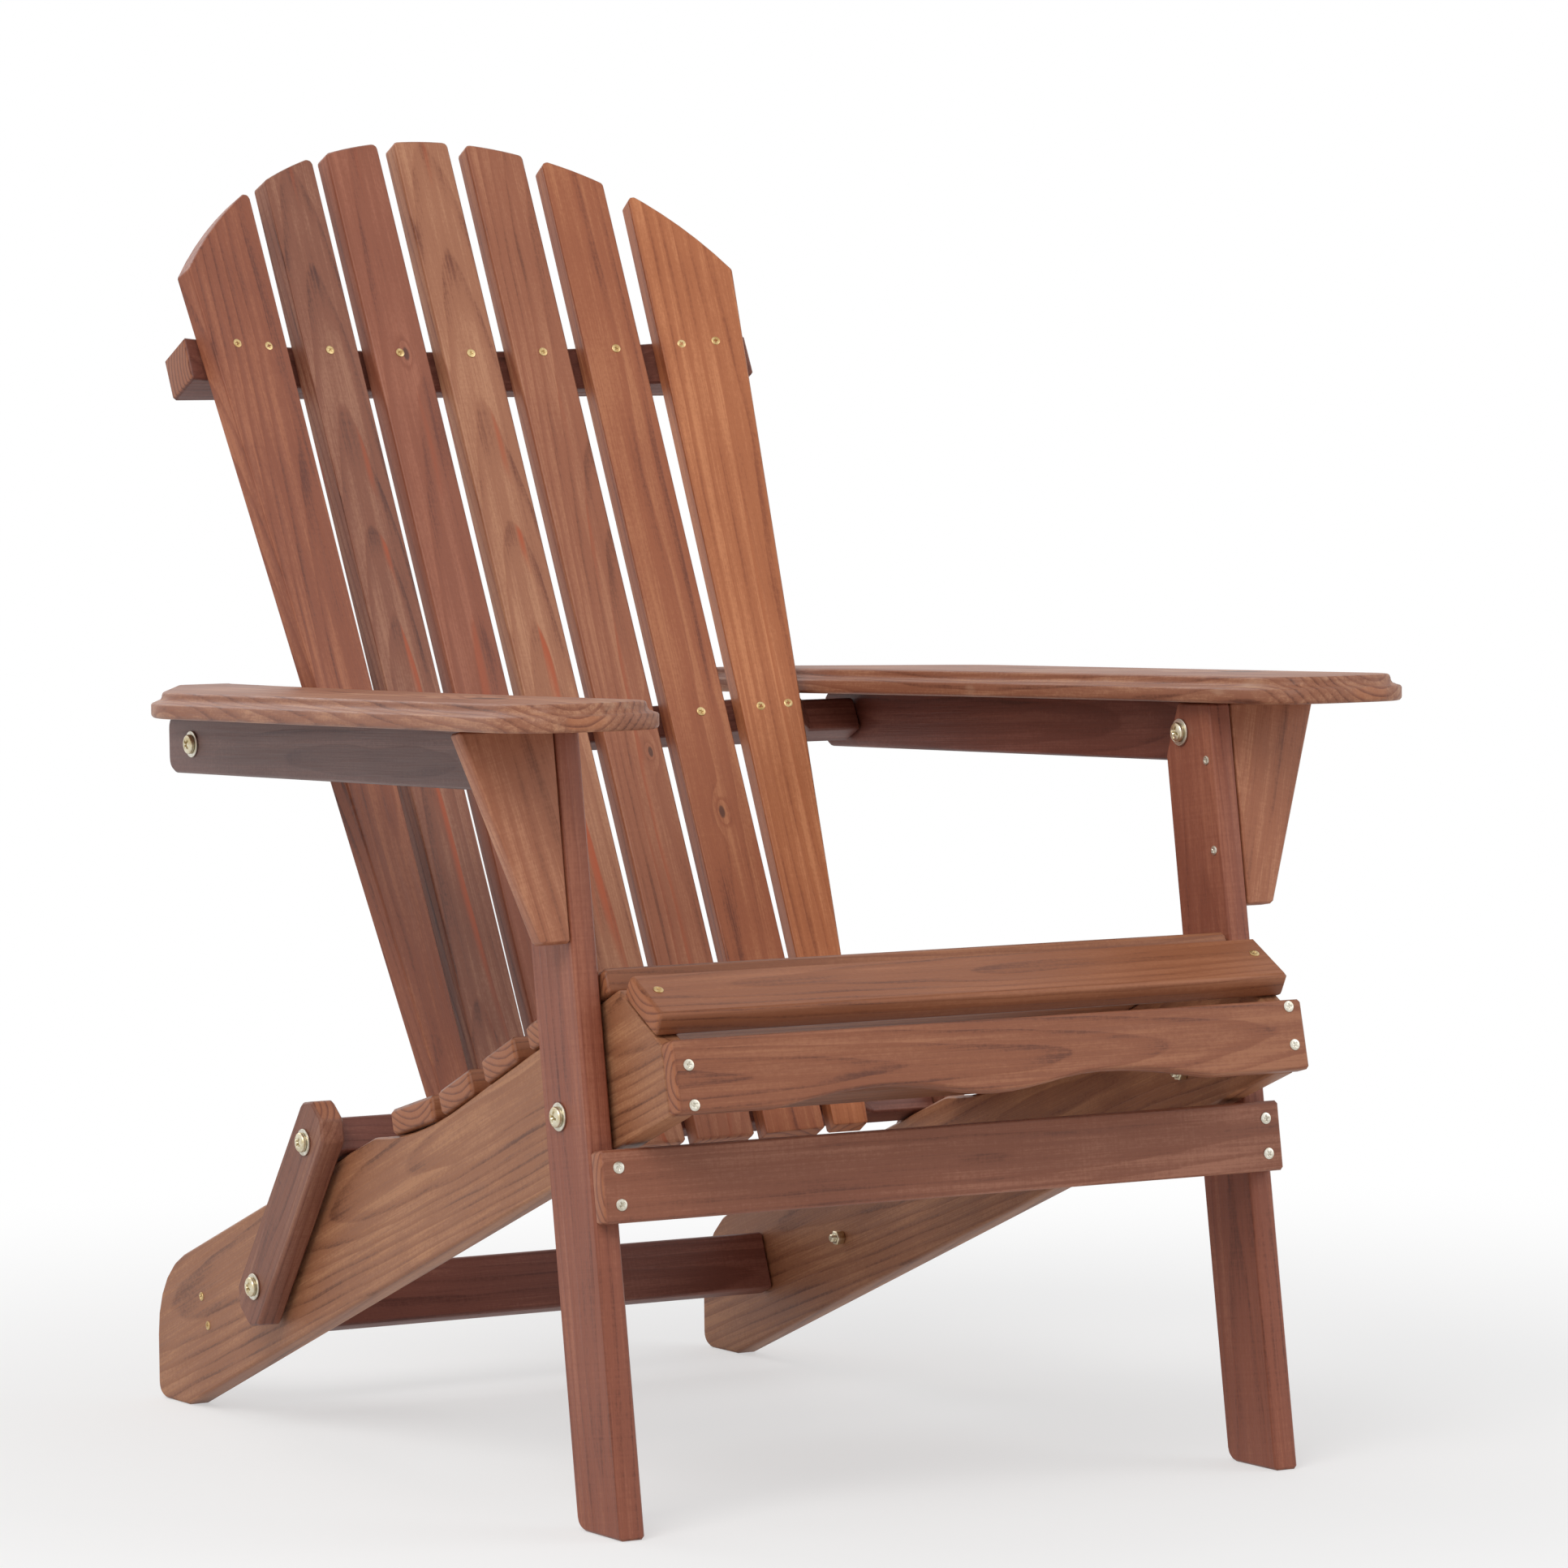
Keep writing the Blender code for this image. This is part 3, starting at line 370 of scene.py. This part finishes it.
# %% Stain of each board
LEG = dict(dark=(98, 50, 36), mid=(140, 80, 60), light=(164, 102, 78), saw=0.35, contrast=0.20, ring=0.006)
RAIL = dict(dark=(84, 44, 35), mid=(114, 66, 54), light=(140, 90, 75), saw=0.25, contrast=0.25)
SEAT = dict(dark=(100, 56, 38), mid=(140, 86, 58), light=(164, 108, 76), contrast=0.28)
SLAT = dict(dark=(108, 58, 42), mid=(150, 90, 64), light=(178, 116, 86), contrast=0.29)
finishes = {name: dict(SEAT) for name in boards}
for name in boards:
    if name.startswith(("front_leg", "cross_rail", "arm_bracket")):
        finishes[name] = dict(LEG)
    elif name.startswith(("arm_rail", "link", "upper_batten", "mid_batten", "bottom_rail",
                          "rear_stretcher")):
        finishes[name] = dict(RAIL)
    elif name.startswith("back_slat"):
        finishes[name] = dict(SLAT)
    seed = sum(ord(letter) * (place + 3) for place, letter in enumerate(name)) % 97 / 97
    finishes[name]["core"] = (-0.02 + 0.04 * seed, 0.030 + 0.03 * ((seed * 7) % 1))
    finishes[name]["skew"] = (0.02 * ((seed * 13) % 1 - 0.5), 0.05 * ((seed * 29) % 1 - 0.5))

finishes["cross_rail"].update(dark=(106, 60, 44), mid=(142, 87, 65), light=(172, 116, 92), saw=0.3, contrast=0.22)
for side in ("left", "right"):
    finishes["arm_bracket_" + side].update(dark=(122, 72, 50), mid=(162, 102, 74), light=(190, 132, 100))
    finishes["stringer_" + side].update(dark=(104, 62, 42), mid=(152, 100, 70), light=(180, 128, 92), contrast=0.32,
                                        ring=0.006, core=(0.02, 0.04), skew=(0.0, 0.03), saw=0.2)
    finishes["arm_" + side] = dict(dark=(98, 54, 38), mid=(144, 92, 68), light=(180, 130, 100), contrast=0.34,
                                   ring=0.0050, core=(0.01, -0.034), skew=(0.03, 0.02), saw=0.1, worn=0.5,
                                   knot=(-0.21, 0.015, 0.028), knot_pull=2.6)
    finishes["link_" + side].update(dark=(92, 52, 40), mid=(128, 80, 62), light=(152, 104, 82), saw=0.35)
finishes["arm_rail_right"].update(dark=(86, 60, 58), mid=(112, 84, 79), light=(134, 104, 98), saw=0.3)
finishes["arm_rail_left"].update(dark=(84, 42, 34), mid=(116, 66, 54), light=(142, 90, 76))
finishes["back_slat_1"].update(dark=(96, 48, 34), mid=(142, 80, 56), light=(172, 108, 78), ring=0.007,
                               core=(0.03, 0.03), skew=(0.03, 0.0), knot=(-0.05, 0.0, 0.008), knot_pull=1.4)
finishes["back_slat_2"].update(dark=(84, 46, 36), mid=(134, 82, 62), light=(166, 116, 92), ring=0.0055,
                               core=(-0.004, 0.034), skew=(0.008, 0.05), flame=0.75)
finishes["back_slat_3"].update(dark=(106, 56, 42), mid=(144, 84, 62), light=(168, 106, 82), ring=0.010,
                               core=(0.018, 0.05), skew=(0.01, 0.03), flame=0.45,
                               knot=(0.235, 0.004, 0.0065), knot_pull=1.5)
finishes["back_slat_4"].update(dark=(118, 66, 46), mid=(164, 108, 80), light=(190, 136, 104), ring=0.0065,
                               core=(0.0, 0.030), skew=(0.0, 0.055), flame=0.9)
finishes["back_slat_5"].update(dark=(116, 66, 46), mid=(154, 94, 68), light=(178, 120, 90), ring=0.0055,
                               core=(0.03, 0.03), skew=(0.0, 0.03), flame=0.35,
                               knot=(-0.105, 0.012, 0.005), knot_pull=1.5)
finishes["back_slat_6"].update(dark=(110, 58, 40), mid=(158, 92, 62), light=(184, 120, 84), ring=0.008,
                               core=(-0.02, 0.04), knot=(-0.15, 0.0, 0.006), knot_pull=1.8)
finishes["back_slat_7"].update(dark=(140, 76, 46), mid=(176, 106, 68), light=(204, 134, 92), ring=0.009,
                               core=(0.04, 0.02), contrast=0.32, flame=0.15, flame_colour=(196, 112, 66))
finishes["front_apron"].update(dark=(96, 52, 36), mid=(140, 84, 58), light=(164, 108, 78), contrast=0.32,
                               core=(0.0, 0.028), skew=(0.0, 0.06), ring=0.006)
finishes["seat_slat_1"].update(dark=(104, 58, 38), mid=(142, 86, 56), light=(162, 104, 72), contrast=0.30, saw=0.05)
print(len(finishes), "boards have a stain")

# %% [markdown]
# ## Softened edges
# The solids have flat little chamfers where a router eased the boards.  On a real board the same edge
# is a small round.  Each solid is copied, its loose corners are joined, and its corner normals are
# weighted by face area, so the chamfer shades as a round while the broad faces stay flat.


# %% Boards with eased edges
def eased_board(node):
    """A merged, smoothly shaded copy of a board that stands for its solid."""
    mesh = nodes[node].data.copy()
    mesh.name = node + "_eased"
    shape = bmesh.new()
    shape.from_mesh(mesh)
    bmesh.ops.remove_doubles(shape, verts=shape.verts, dist=2e-6)
    bmesh.ops.dissolve_limit(shape, angle_limit=math.radians(0.5), verts=shape.verts, edges=shape.edges)
    shape.to_mesh(mesh)
    shape.free()
    mesh.materials.clear()
    mesh.materials.append(stain(node, mesh, **finishes[node]))
    mesh.shade_smooth()
    mesh.set_sharp_from_angle(angle=math.radians(62))
    made = bpy.data.objects.new("board_" + node, mesh)
    scene.collection.objects.link(made)
    weighted = made.modifiers.new("face_area_normals", "WEIGHTED_NORMAL")
    weighted.keep_sharp = True
    weighted.weight = 80
    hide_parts(node)
    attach(made, body_of[node])
    return made


plain_boards = [name for name in boards if name not in ("arm_left", "arm_right")]
for name in plain_boards:
    eased_board(name)
print(len(plain_boards), "boards eased")


# %% [markdown]
# ## Surfaces on a grid
# Turned and moulded pieces come from one idea: a profile carried round a closed path.  Rows of a grid
# are the path at each step of the profile.  The two end rows are closed with a single flat face.

# %% One helper for every grid
def grid_piece(name, rows, finish, body, stands_for=(), sharp=40):
    """Closed surface through rows of points, shaped (rows, points round, 3), capped at both ends."""
    count, around = rows.shape[:2]
    index = np.arange(count * around).reshape(count, around)
    right = np.roll(index, -1, axis=1)
    quads = np.stack([index[:-1], right[:-1], right[1:], index[1:]], axis=-1).reshape(-1, 4)
    faces = quads.tolist() + [index[0, ::-1].tolist(), index[-1].tolist()]
    mesh = bpy.data.meshes.new(name)
    mesh.from_pydata(rows.reshape(-1, 3).tolist(), [], faces)
    shape = bmesh.new()
    shape.from_mesh(mesh)
    bmesh.ops.remove_doubles(shape, verts=shape.verts, dist=1e-7)
    bmesh.ops.recalc_face_normals(shape, faces=shape.faces)
    shape.to_mesh(mesh)
    shape.free()
    mesh.shade_smooth()
    mesh.set_sharp_from_angle(angle=math.radians(sharp))
    if callable(finish):
        finish = finish(mesh)
    mesh.materials.append(finish)
    made = bpy.data.objects.new(name, mesh)
    scene.collection.objects.link(made)
    if stands_for:
        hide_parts(*stands_for)
    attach(made, body)
    return made


# %% [markdown]
# ## The arms
# Each arm is one broad board with a blunt, rounded nose, a waist on its inner edge and a tapered tail.
# A router has run a soft step and a hollow along its top edge.  Seen from above, the outline is a
# closed path; the router's profile is carried round it, moving inwards as it climbs.

# %% Moulded arms
ARM_NOSE, ARM_SQUARENESS = 0.070, 3.0   # depth of the nose; 2 would be an ellipse
ARM_WIDTH = 0.1206                      # at the waist
ARM_BOW, ARM_WAIST, ARM_TAPER = 0.0902, 0.123, 0.46
ARM_THICKNESS, ARM_FALL = 0.019, -0.01599
TAIL_ROUND, TAIL_BEND, TAPER_LENGTH = 0.018, 0.03, 0.195


def arm_outline(half_width_out, front, rear, side):
    """Nose: a blunt super-ellipse.  Inside edge: a parabola about the waist.  Tail: a straight taper.
    Points run round the board once, evenly spaced."""
    waist_y = front + ARM_WAIST

    def inner(y):
        return half_width_out - ARM_WIDTH - ARM_BOW * (y - waist_y) ** 2

    centre = (half_width_out + inner(front + ARM_NOSE)) / 2
    reach = half_width_out - centre
    turn = np.linspace(0, np.pi, 60)
    across = np.sign(np.cos(turn)) * np.abs(np.cos(turn)) ** (2 / ARM_SQUARENESS)
    ahead = np.abs(np.sin(turn)) ** (2 / ARM_SQUARENESS)
    nose = np.stack([centre + reach * across, front + ARM_NOSE * (1 - ahead)], 1)
    inside_y = np.linspace(front + ARM_NOSE, rear - 0.016, 60)[1:]
    inside = np.stack([inner(inside_y), inside_y], 1)
    taper_y = rear - TAPER_LENGTH
    tail_x = half_width_out - ARM_TAPER * (rear - taper_y)
    arc = np.linspace(0, np.pi / 2, 10)
    tail_in = np.stack([inner(rear) + TAIL_ROUND * (1 - np.cos(arc)), rear - TAIL_ROUND * (1 - np.sin(arc))], 1)
    slope = math.atan(ARM_TAPER)
    tip = np.linspace(np.pi / 2, slope, 10)
    tail_out = np.stack([tail_x - 0.024 + TAIL_ROUND * np.cos(tip), rear - TAIL_ROUND * (1 - np.sin(tip))], 1)
    bend = np.linspace(0, 1, 12)[:, None]
    from_tail = np.array([[half_width_out - ARM_TAPER * TAIL_BEND, taper_y + TAIL_BEND]])
    to_side = np.array([[half_width_out, taper_y - TAIL_BEND]])
    corner = np.array([[half_width_out, taper_y]])
    rounded = (1 - bend) ** 2 * from_tail + 2 * bend * (1 - bend) * corner + bend**2 * to_side
    path = np.concatenate([nose, inside, tail_in, tail_out, rounded])
    closed = np.concatenate([path, path[:1]])
    walked = np.concatenate([[0], np.cumsum(np.linalg.norm(np.diff(closed, axis=0), axis=1))])
    even = np.linspace(0, walked[-1], 241)[:-1]
    return np.stack([side * np.interp(even, walked, closed[:, 0]), np.interp(even, walked, closed[:, 1])], 1)


def arm(node, side):
    """Rows: the outline pulled in by the router's profile, lifted along the arm's own slight slope."""
    low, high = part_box(node)
    front, rear = low[1], high[1]
    outline = arm_outline(max(abs(low[0]), abs(high[0])), front + 0.0002, rear - 0.0006, side)
    run = np.roll(outline, -1, axis=0) - np.roll(outline, 1, axis=0)
    run /= np.linalg.norm(run, axis=1, keepdims=True)
    inward = np.stack([-run[:, 1], run[:, 0]], 1) * -side
    inward *= np.sign((inward * (outline.mean(0) - outline)).sum())
    quarter, sixth = np.linspace(0, math.pi / 2, 5), np.linspace(0, math.pi / 2, 6)
    round_low = [(0.0030 * (1 - math.sin(a)), 0.0030 * (1 - math.cos(a))) for a in quarter]
    step = [(0.0, 0.0095), (0.0010, 0.0108), (0.0028, 0.0113), (0.0040, 0.0116)]
    hollow = [(0.0045 + 0.0035 * math.sin(a), 0.0120 + 0.0045 * (1 - math.cos(a))) for a in sixth]
    crown = [(0.0082 + 0.0026 * (1 - math.cos(a)), 0.0165 + 0.0025 * math.sin(a)) for a in quarter]
    profile = np.array(round_low + step + hollow + crown)
    profile[:, 1] *= ARM_THICKNESS / profile[:, 1].max()
    base = high[2] - ARM_THICKNESS
    rows = []
    for pull, lift in profile:
        plan = outline + inward * pull
        rows.append(np.stack([plan[:, 0], plan[:, 1], base + lift + ARM_FALL * (plan[:, 1] - front)], 1))
    piece = grid_piece("moulded_" + node, np.array(rows), lambda mesh: stain(node, mesh, **finishes[node]),
                       body_of[node], (node,), 50)
    print(piece.name, "from", round(front, 3), "to", round(rear, 3), "top", round(high[2], 3))


arm("arm_right", -1)
arm("arm_left", 1)

# %% [markdown]
# ## Zinc hardware
# The bolts are pan heads with a cross recess, yellow from their zinc bath; the washers are plain zinc.
# A head is a disc of rings and spokes: its height is a shallow dome, less the recess, which is a
# function of the distance to two crossed lines.  Zinc is never even, so its colour and gloss drift.


# %% Metal finishes
def metal(name, base, stained_with, roughness):
    """Plated steel: cloudy colour and gloss, with fine scratches as bump."""
    made = bpy.data.materials.new(name)
    made.use_nodes = True
    g = Graph(made.node_tree)
    shader = made.node_tree.nodes["Principled BSDF"]
    here = g.put("TexCoord", 3)
    cloud = g.noise(here, (180.0, 180.0, 180.0), 3.0, 0.6)
    scratch = g.noise(here, (2600.0, 900.0, 2600.0), 2.0, 0.6)
    for value, socket in ((g.mix(g.steps(cloud, 0.35, 0.7), colour(*base), colour(*stained_with)), "Base Color"),
                          (g.sum("MULTIPLY_ADD", cloud, 0.25, roughness), "Roughness"),
                          (g.put("Bump", Strength=0.25, Distance=0.00008, Height=scratch), "Normal")):
        made.node_tree.links.new(value, shader.inputs[socket])
    shader.inputs["Metallic"].default_value = 1.0
    return made


GOLD_ZINC = metal("gold_zinc", (222, 214, 190), (198, 180, 138), 0.22)
PALE_ZINC = metal("pale_zinc", (222, 218, 206), (190, 182, 164), 0.24)
BRASSY = metal("brass_plated", (208, 184, 136), (172, 138, 88), 0.26)


# %% Head with a cross recess
def cross_recess(a, b, radius, depth):
    """Depth of the recess at (a, b): two crossed slots that taper to their ends, with sloping walls."""
    reach, half = radius * 0.62, radius * 0.13

    def slot(across, along):
        return (np.clip((half - np.abs(across)) / (half * 0.5), 0, 1)
                * np.clip((reach - np.abs(along)) / (reach * 0.45), 0, 1))

    one, two = slot(a, b), slot(b, a)
    centre = np.clip(1 - np.hypot(a, b) / (radius * 0.30), 0, 1)
    return depth * np.maximum(np.maximum(one, two), centre)


def head_rows(radius, height, turn, rings=16, spokes=48, flat=0.45):
    """Rows of (height, a, b): up the rim, over the dome, in to the middle, less the recess."""
    spin = np.arange(spokes) / spokes * 2 * np.pi
    inwards = np.linspace(0.95, 0.001, rings)
    share = np.concatenate([[1.0, 1.0, 0.985], inwards])[:, None]
    dome = flat + (1 - flat) * np.sqrt(np.clip(1 - inwards**2, 0, 1))
    up = np.concatenate([[0.0, flat * 0.7, flat], dome])[:, None]
    recess = cross_recess(radius * share * np.cos(spin), radius * share * np.sin(spin), radius, height * 0.8)
    return height * up - recess, radius * share * np.cos(spin + turn), radius * share * np.sin(spin + turn)


# %% Bolts
def bolt(node, turn):
    """Shank out of its tip, seat under the head, then the head's rows; the axis lies along X."""
    low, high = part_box(node)
    mid_y, mid_z = (low[1] + high[1]) / 2, (low[2] + high[2]) / 2
    head_radius, head_height, shank_radius = (high[2] - low[2]) / 2, 0.0040, 0.0030
    corners = np.empty(len(nodes[node].data.vertices) * 3)
    nodes[node].data.vertices.foreach_get("co", corners)
    corners = corners.reshape(-1, 3)
    wide = np.hypot(corners[:, 1] - mid_y, corners[:, 2] - mid_z) > head_radius * 0.9
    head_at_high = corners[wide, 0].mean() > (low[0] + high[0]) / 2
    crown, tip = (high[0], low[0]) if head_at_high else (low[0], high[0])
    way = 1 if head_at_high else -1
    lift, a, b = head_rows(head_radius, head_height, turn)
    spokes = a.shape[1]
    spin = np.arange(spokes) / spokes * 2 * np.pi + turn
    length = abs(crown - tip) - head_height
    thread_pitch, thread_depth, thread_end = 0.0010, 0.00035, 0.018
    along = np.linspace(0.0, length - max(0.0, length - 0.026), 60)
    wave = 0.5 + 0.5 * np.cos(2 * np.pi * along / thread_pitch)
    threaded = shank_radius - thread_depth * wave * (along < thread_end)
    shank = [(0.0, 0.0005), (0.0, 0.0022), *zip(along + 0.0004, threaded)]
    shank = [(s, r) for s, r in shank if s < length] + [(length, shank_radius)]
    rows = [np.stack([np.full(spokes, tip + way * s), mid_y + r * np.cos(spin), mid_z + r * np.sin(spin)], 1)
            for s, r in shank]
    seat = tip + way * length
    rows += [np.stack([seat + way * lift[i], mid_y + a[i], mid_z + b[i]], 1) for i in range(len(lift))]
    return grid_piece("pan_" + node, np.array(rows), GOLD_ZINC, body_of[node], (node,), 35)


bolts = [name for name in nodes if name.startswith("bolt_")]
for place, name in enumerate(sorted(bolts)):
    bolt(name, 0.3 + 0.7 * place)
print(len(bolts), "bolts")


# %% Washers, spacers and lock nuts
def ring(node, sides=0, finish=PALE_ZINC):
    """A tube's cross-section carried round the axis: its outer edge is rounded, and for a nut the
    outside follows a hexagon with its corners turned off."""
    low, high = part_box(node)
    mid_y, mid_z = (low[1] + high[1]) / 2, (low[2] + high[2]) / 2
    outer = max(high[1] - low[1], high[2] - low[2]) / 2
    wide = high[0] - low[0]
    around = 96
    spin = np.arange(around) / around * 2 * np.pi
    flats = np.ones(around)
    if sides:
        from_corner = spin % (2 * np.pi / sides) - np.pi / sides
        flats = np.minimum(np.cos(np.pi / sides) / np.cos(from_corner), 1.0)
    inner = 0.0033 if sides else 0.0036
    round_over = wide * (0.12 if sides else 0.3)
    corner = [(round_over * (1 - math.cos(t)), outer - round_over * (1 - math.sin(t)))
              for t in np.linspace(0, math.pi / 2, 5)]
    section = [(0.0, inner), *corner, *((wide - x, r) for x, r in corner[::-1]), (wide, inner), (wide * 0.5, inner)]
    rows = []
    for x, r in section:
        reach = np.where(r > inner, r * flats, r)
        rows.append(np.stack([np.full(around, low[0] + x), mid_y + reach * np.cos(spin),
                              mid_z + reach * np.sin(spin)], 1))
    rows = np.array(rows)
    count = len(rows)
    index = np.arange(count * around).reshape(count, around)
    below, right = np.roll(index, -1, axis=0), np.roll(index, -1, axis=1)
    faces = np.stack([index, right, np.roll(below, -1, axis=1), below], axis=-1).reshape(-1, 4)
    mesh = bpy.data.meshes.new("round_" + node)
    mesh.from_pydata(rows.reshape(-1, 3).tolist(), [], faces.tolist())
    shape = bmesh.new()
    shape.from_mesh(mesh)
    bmesh.ops.recalc_face_normals(shape, faces=shape.faces)
    shape.to_mesh(mesh)
    shape.free()
    mesh.shade_smooth()
    mesh.set_sharp_from_angle(angle=math.radians(32))
    mesh.materials.append(finish)
    made = bpy.data.objects.new("round_" + node, mesh)
    scene.collection.objects.link(made)
    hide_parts(node)
    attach(made, body_of[node])


rings = [name for name in nodes if name.startswith(("washer", "spacer"))]
nuts = [name for name in nodes if name.startswith("lock_nut")]
for name in rings:
    ring(name)
for name in nuts:
    ring(name, 6, GOLD_ZINC)
print(len(rings), "washers and spacers,", len(nuts), "lock nuts")

# %% [markdown]
# ## Wood screws
# Small countersunk screws hold every slat.  They sit almost flush, so each is only a slightly domed
# head with its cross recess and a short body sunk in the board.  All screws of one board row make one
# mesh, because they never part.


# %% Screw rows
def screws(name, places, normals, body, finish, radius=0.0036, height=0.0011):
    """One small head at each place, its rows carried along the board's outward normal."""
    points, faces = [], []
    for number, (at, normal) in enumerate(zip(places, normals)):
        normal = np.array(normal, float) / np.linalg.norm(normal)
        side = np.cross(normal, (0.0, 0.0, 1.0) if abs(normal[2]) < 0.9 else (1.0, 0.0, 0.0))
        side /= np.linalg.norm(side)
        third = np.cross(normal, side)
        lift, a, b = head_rows(radius, height, 0.5 + 0.9 * number, rings=10, spokes=32, flat=0.35)
        lift, a, b = (np.concatenate([extra, grid]) for extra, grid in (
            (np.full((1, 32), -0.0012), lift), (a[:1] * 0.8, a), (b[:1] * 0.8, b)))
        rows = np.array(at) + lift[..., None] * normal + a[..., None] * side + b[..., None] * third
        count, around = rows.shape[:2]
        index = np.arange(count * around).reshape(count, around) + sum(len(block) for block in points)
        right = np.roll(index, -1, axis=1)
        faces += np.stack([index[:-1], right[:-1], right[1:], index[1:]], axis=-1).reshape(-1, 4).tolist()
        faces += [index[0, ::-1].tolist(), index[-1].tolist()]
        points.append(rows.reshape(-1, 3))
    mesh = bpy.data.meshes.new(name)
    mesh.from_pydata(np.concatenate(points).tolist(), [], faces)
    shape = bmesh.new()
    shape.from_mesh(mesh)
    bmesh.ops.recalc_face_normals(shape, faces=shape.faces)
    shape.to_mesh(mesh)
    shape.free()
    mesh.shade_smooth()
    mesh.set_sharp_from_angle(angle=math.radians(35))
    mesh.materials.append(finish)
    made = bpy.data.objects.new(name, mesh)
    scene.collection.objects.link(made)
    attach(made, body)
    print(name, len(places))


def on_board(node, along, across, through=1.0):
    """Place and outward normal on a board's face: along and across from its middle, in metres; through
    is 1 for the face on the positive side of its thickness and -1 for the other.  A ray dropped on the
    solid finds the face itself."""
    centre, axes, half = board_frame(nodes[node].data)
    outward = axes[:, 2] * through
    above = Vector(centre + axes[:, 0] * along + axes[:, 1] * across + outward * (half[2] + 0.02))
    solid = BVHTree.FromPolygons([corner.co for corner in nodes[node].data.vertices],
                                 [face.vertices for face in nodes[node].data.polygons])
    at, normal = solid.ray_cast(above, Vector(-outward))[:2]
    return np.array(at), np.array(normal)


def faces_way(node, way):
    """1 or -1: which side of a board's thickness looks along a direction."""
    return 1.0 if board_frame(nodes[node].data)[1][:, 2] @ np.array(way, float) > 0 else -1.0


seat_places = []
for number in range(1, 7):
    node = f"seat_slat_{number}"
    half = board_frame(nodes[node].data)[2]
    up = faces_way(node, (0, 0, 1))
    for end in (-1, 1):
        seat_places.append(on_board(node, end * (half[0] - 0.0125), 0.004, up))
screws("seat_slat_screws", *zip(*seat_places), "seat_frame", BRASSY)


def corner_places(node, inset, gap):
    """Two places at each end of a board's front face: in from the end, and either side of the middle."""
    half = board_frame(nodes[node].data)[2]
    front_side = faces_way(node, (0, -1, 0))
    return [on_board(node, end * (half[0] - inset), step * gap, front_side) for end in (-1, 1) for step in (-1, 1)]


screws("apron_screws", *zip(*corner_places("front_apron", 0.0115, 0.0135)), "seat_frame", PALE_ZINC, 0.0040)
screws("cross_rail_screws", *zip(*corner_places("cross_rail", 0.0125, 0.0125)), "leg_frame", PALE_ZINC, 0.0042)

# %% Screws through the back
RECLINE = math.radians(25.8)
hinge_d = np.array(hinges["back_fold"]["pos_m"])
up_back = np.array([0.0, math.sin(RECLINE), math.cos(RECLINE)])
forward_back = np.array([0.0, -math.cos(RECLINE), math.sin(RECLINE)])
BACK_CURVE, FACE_UP_FRONT = 0.448, 0.0069 + 0.0016 + 0.019


def slat_place(x, up):
    """Point and normal on a slat's front face: the slats follow a shallow hollow across the back."""
    at = hinge_d + up_back * up + forward_back * (FACE_UP_FRONT + BACK_CURVE * x * x) + np.array([x, 0, 0])
    normal = forward_back + np.array([-2 * BACK_CURVE * x, 0, 0])
    return at, normal / np.linalg.norm(normal)


back_places = []
for up, outer in ((0.6243, (0.1796, 0.2080)), (0.3134, (0.1706, 0.1932))):
    middles = [k * (0.0587 + 0.0058 * up) for k in range(-2, 3)]
    for x in middles + [s * edge for s in (-1, 1) for edge in outer]:
        side = math.copysign(1, x) if abs(x) > 0.15 else 0
        centre_x = (0.1648 + 0.056 * up) * side if side else x
        at, normal = slat_place(centre_x, up)
        across = np.cross(normal, up_back)
        across /= np.linalg.norm(across)
        across *= math.copysign(1, across[0])
        back_places.append((at + across * (x - centre_x) / max(across[0], 0.5), normal))
screws("back_slat_screws", *zip(*back_places), "chair_back", BRASSY)

# %% Screws in the stretcher ends and the brackets
side_places = []
low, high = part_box("rear_stretcher")
centre = (np.array(low) + np.array(high)) / 2
for side in (-1, 1):
    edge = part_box("stringer_right")[0][0] if side < 0 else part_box("stringer_left")[1][0]
    for y, z in ((0.0175, 0.008), (0.0068, -0.013)):
        side_places.append(((edge, centre[1] + y, centre[2] + z), (side, 0, 0)))
screws("stretcher_screws", *zip(*side_places), "seat_frame", BRASSY, 0.0034)

bracket_places = []
for node, side in (("arm_bracket_right", -1), ("arm_bracket_left", 1)):
    low, high = (np.array(corner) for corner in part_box(node))
    leg_low, leg_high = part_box("front_leg_right" if side < 0 else "front_leg_left")
    inner_x = leg_high[0] if side < 0 else leg_low[0]
    for share in (0.28, 0.72):
        z = low[2] + share * (high[2] - low[2])
        y = low[1] + 0.0085 + (z - low[2]) * 0.1453
        bracket_places.append(((inner_x, y, z), (-side, 0, 0)))
screws("bracket_screws", *zip(*bracket_places), "leg_frame", PALE_ZINC, 0.0034)

# %% [markdown]
# ## Last measure
# The solids' outer box is printed.  The finished look must keep the solids' outer size.

# %% Sizes
print("solid", [round(v, 4) for v in (*cad_low, *cad_high)])
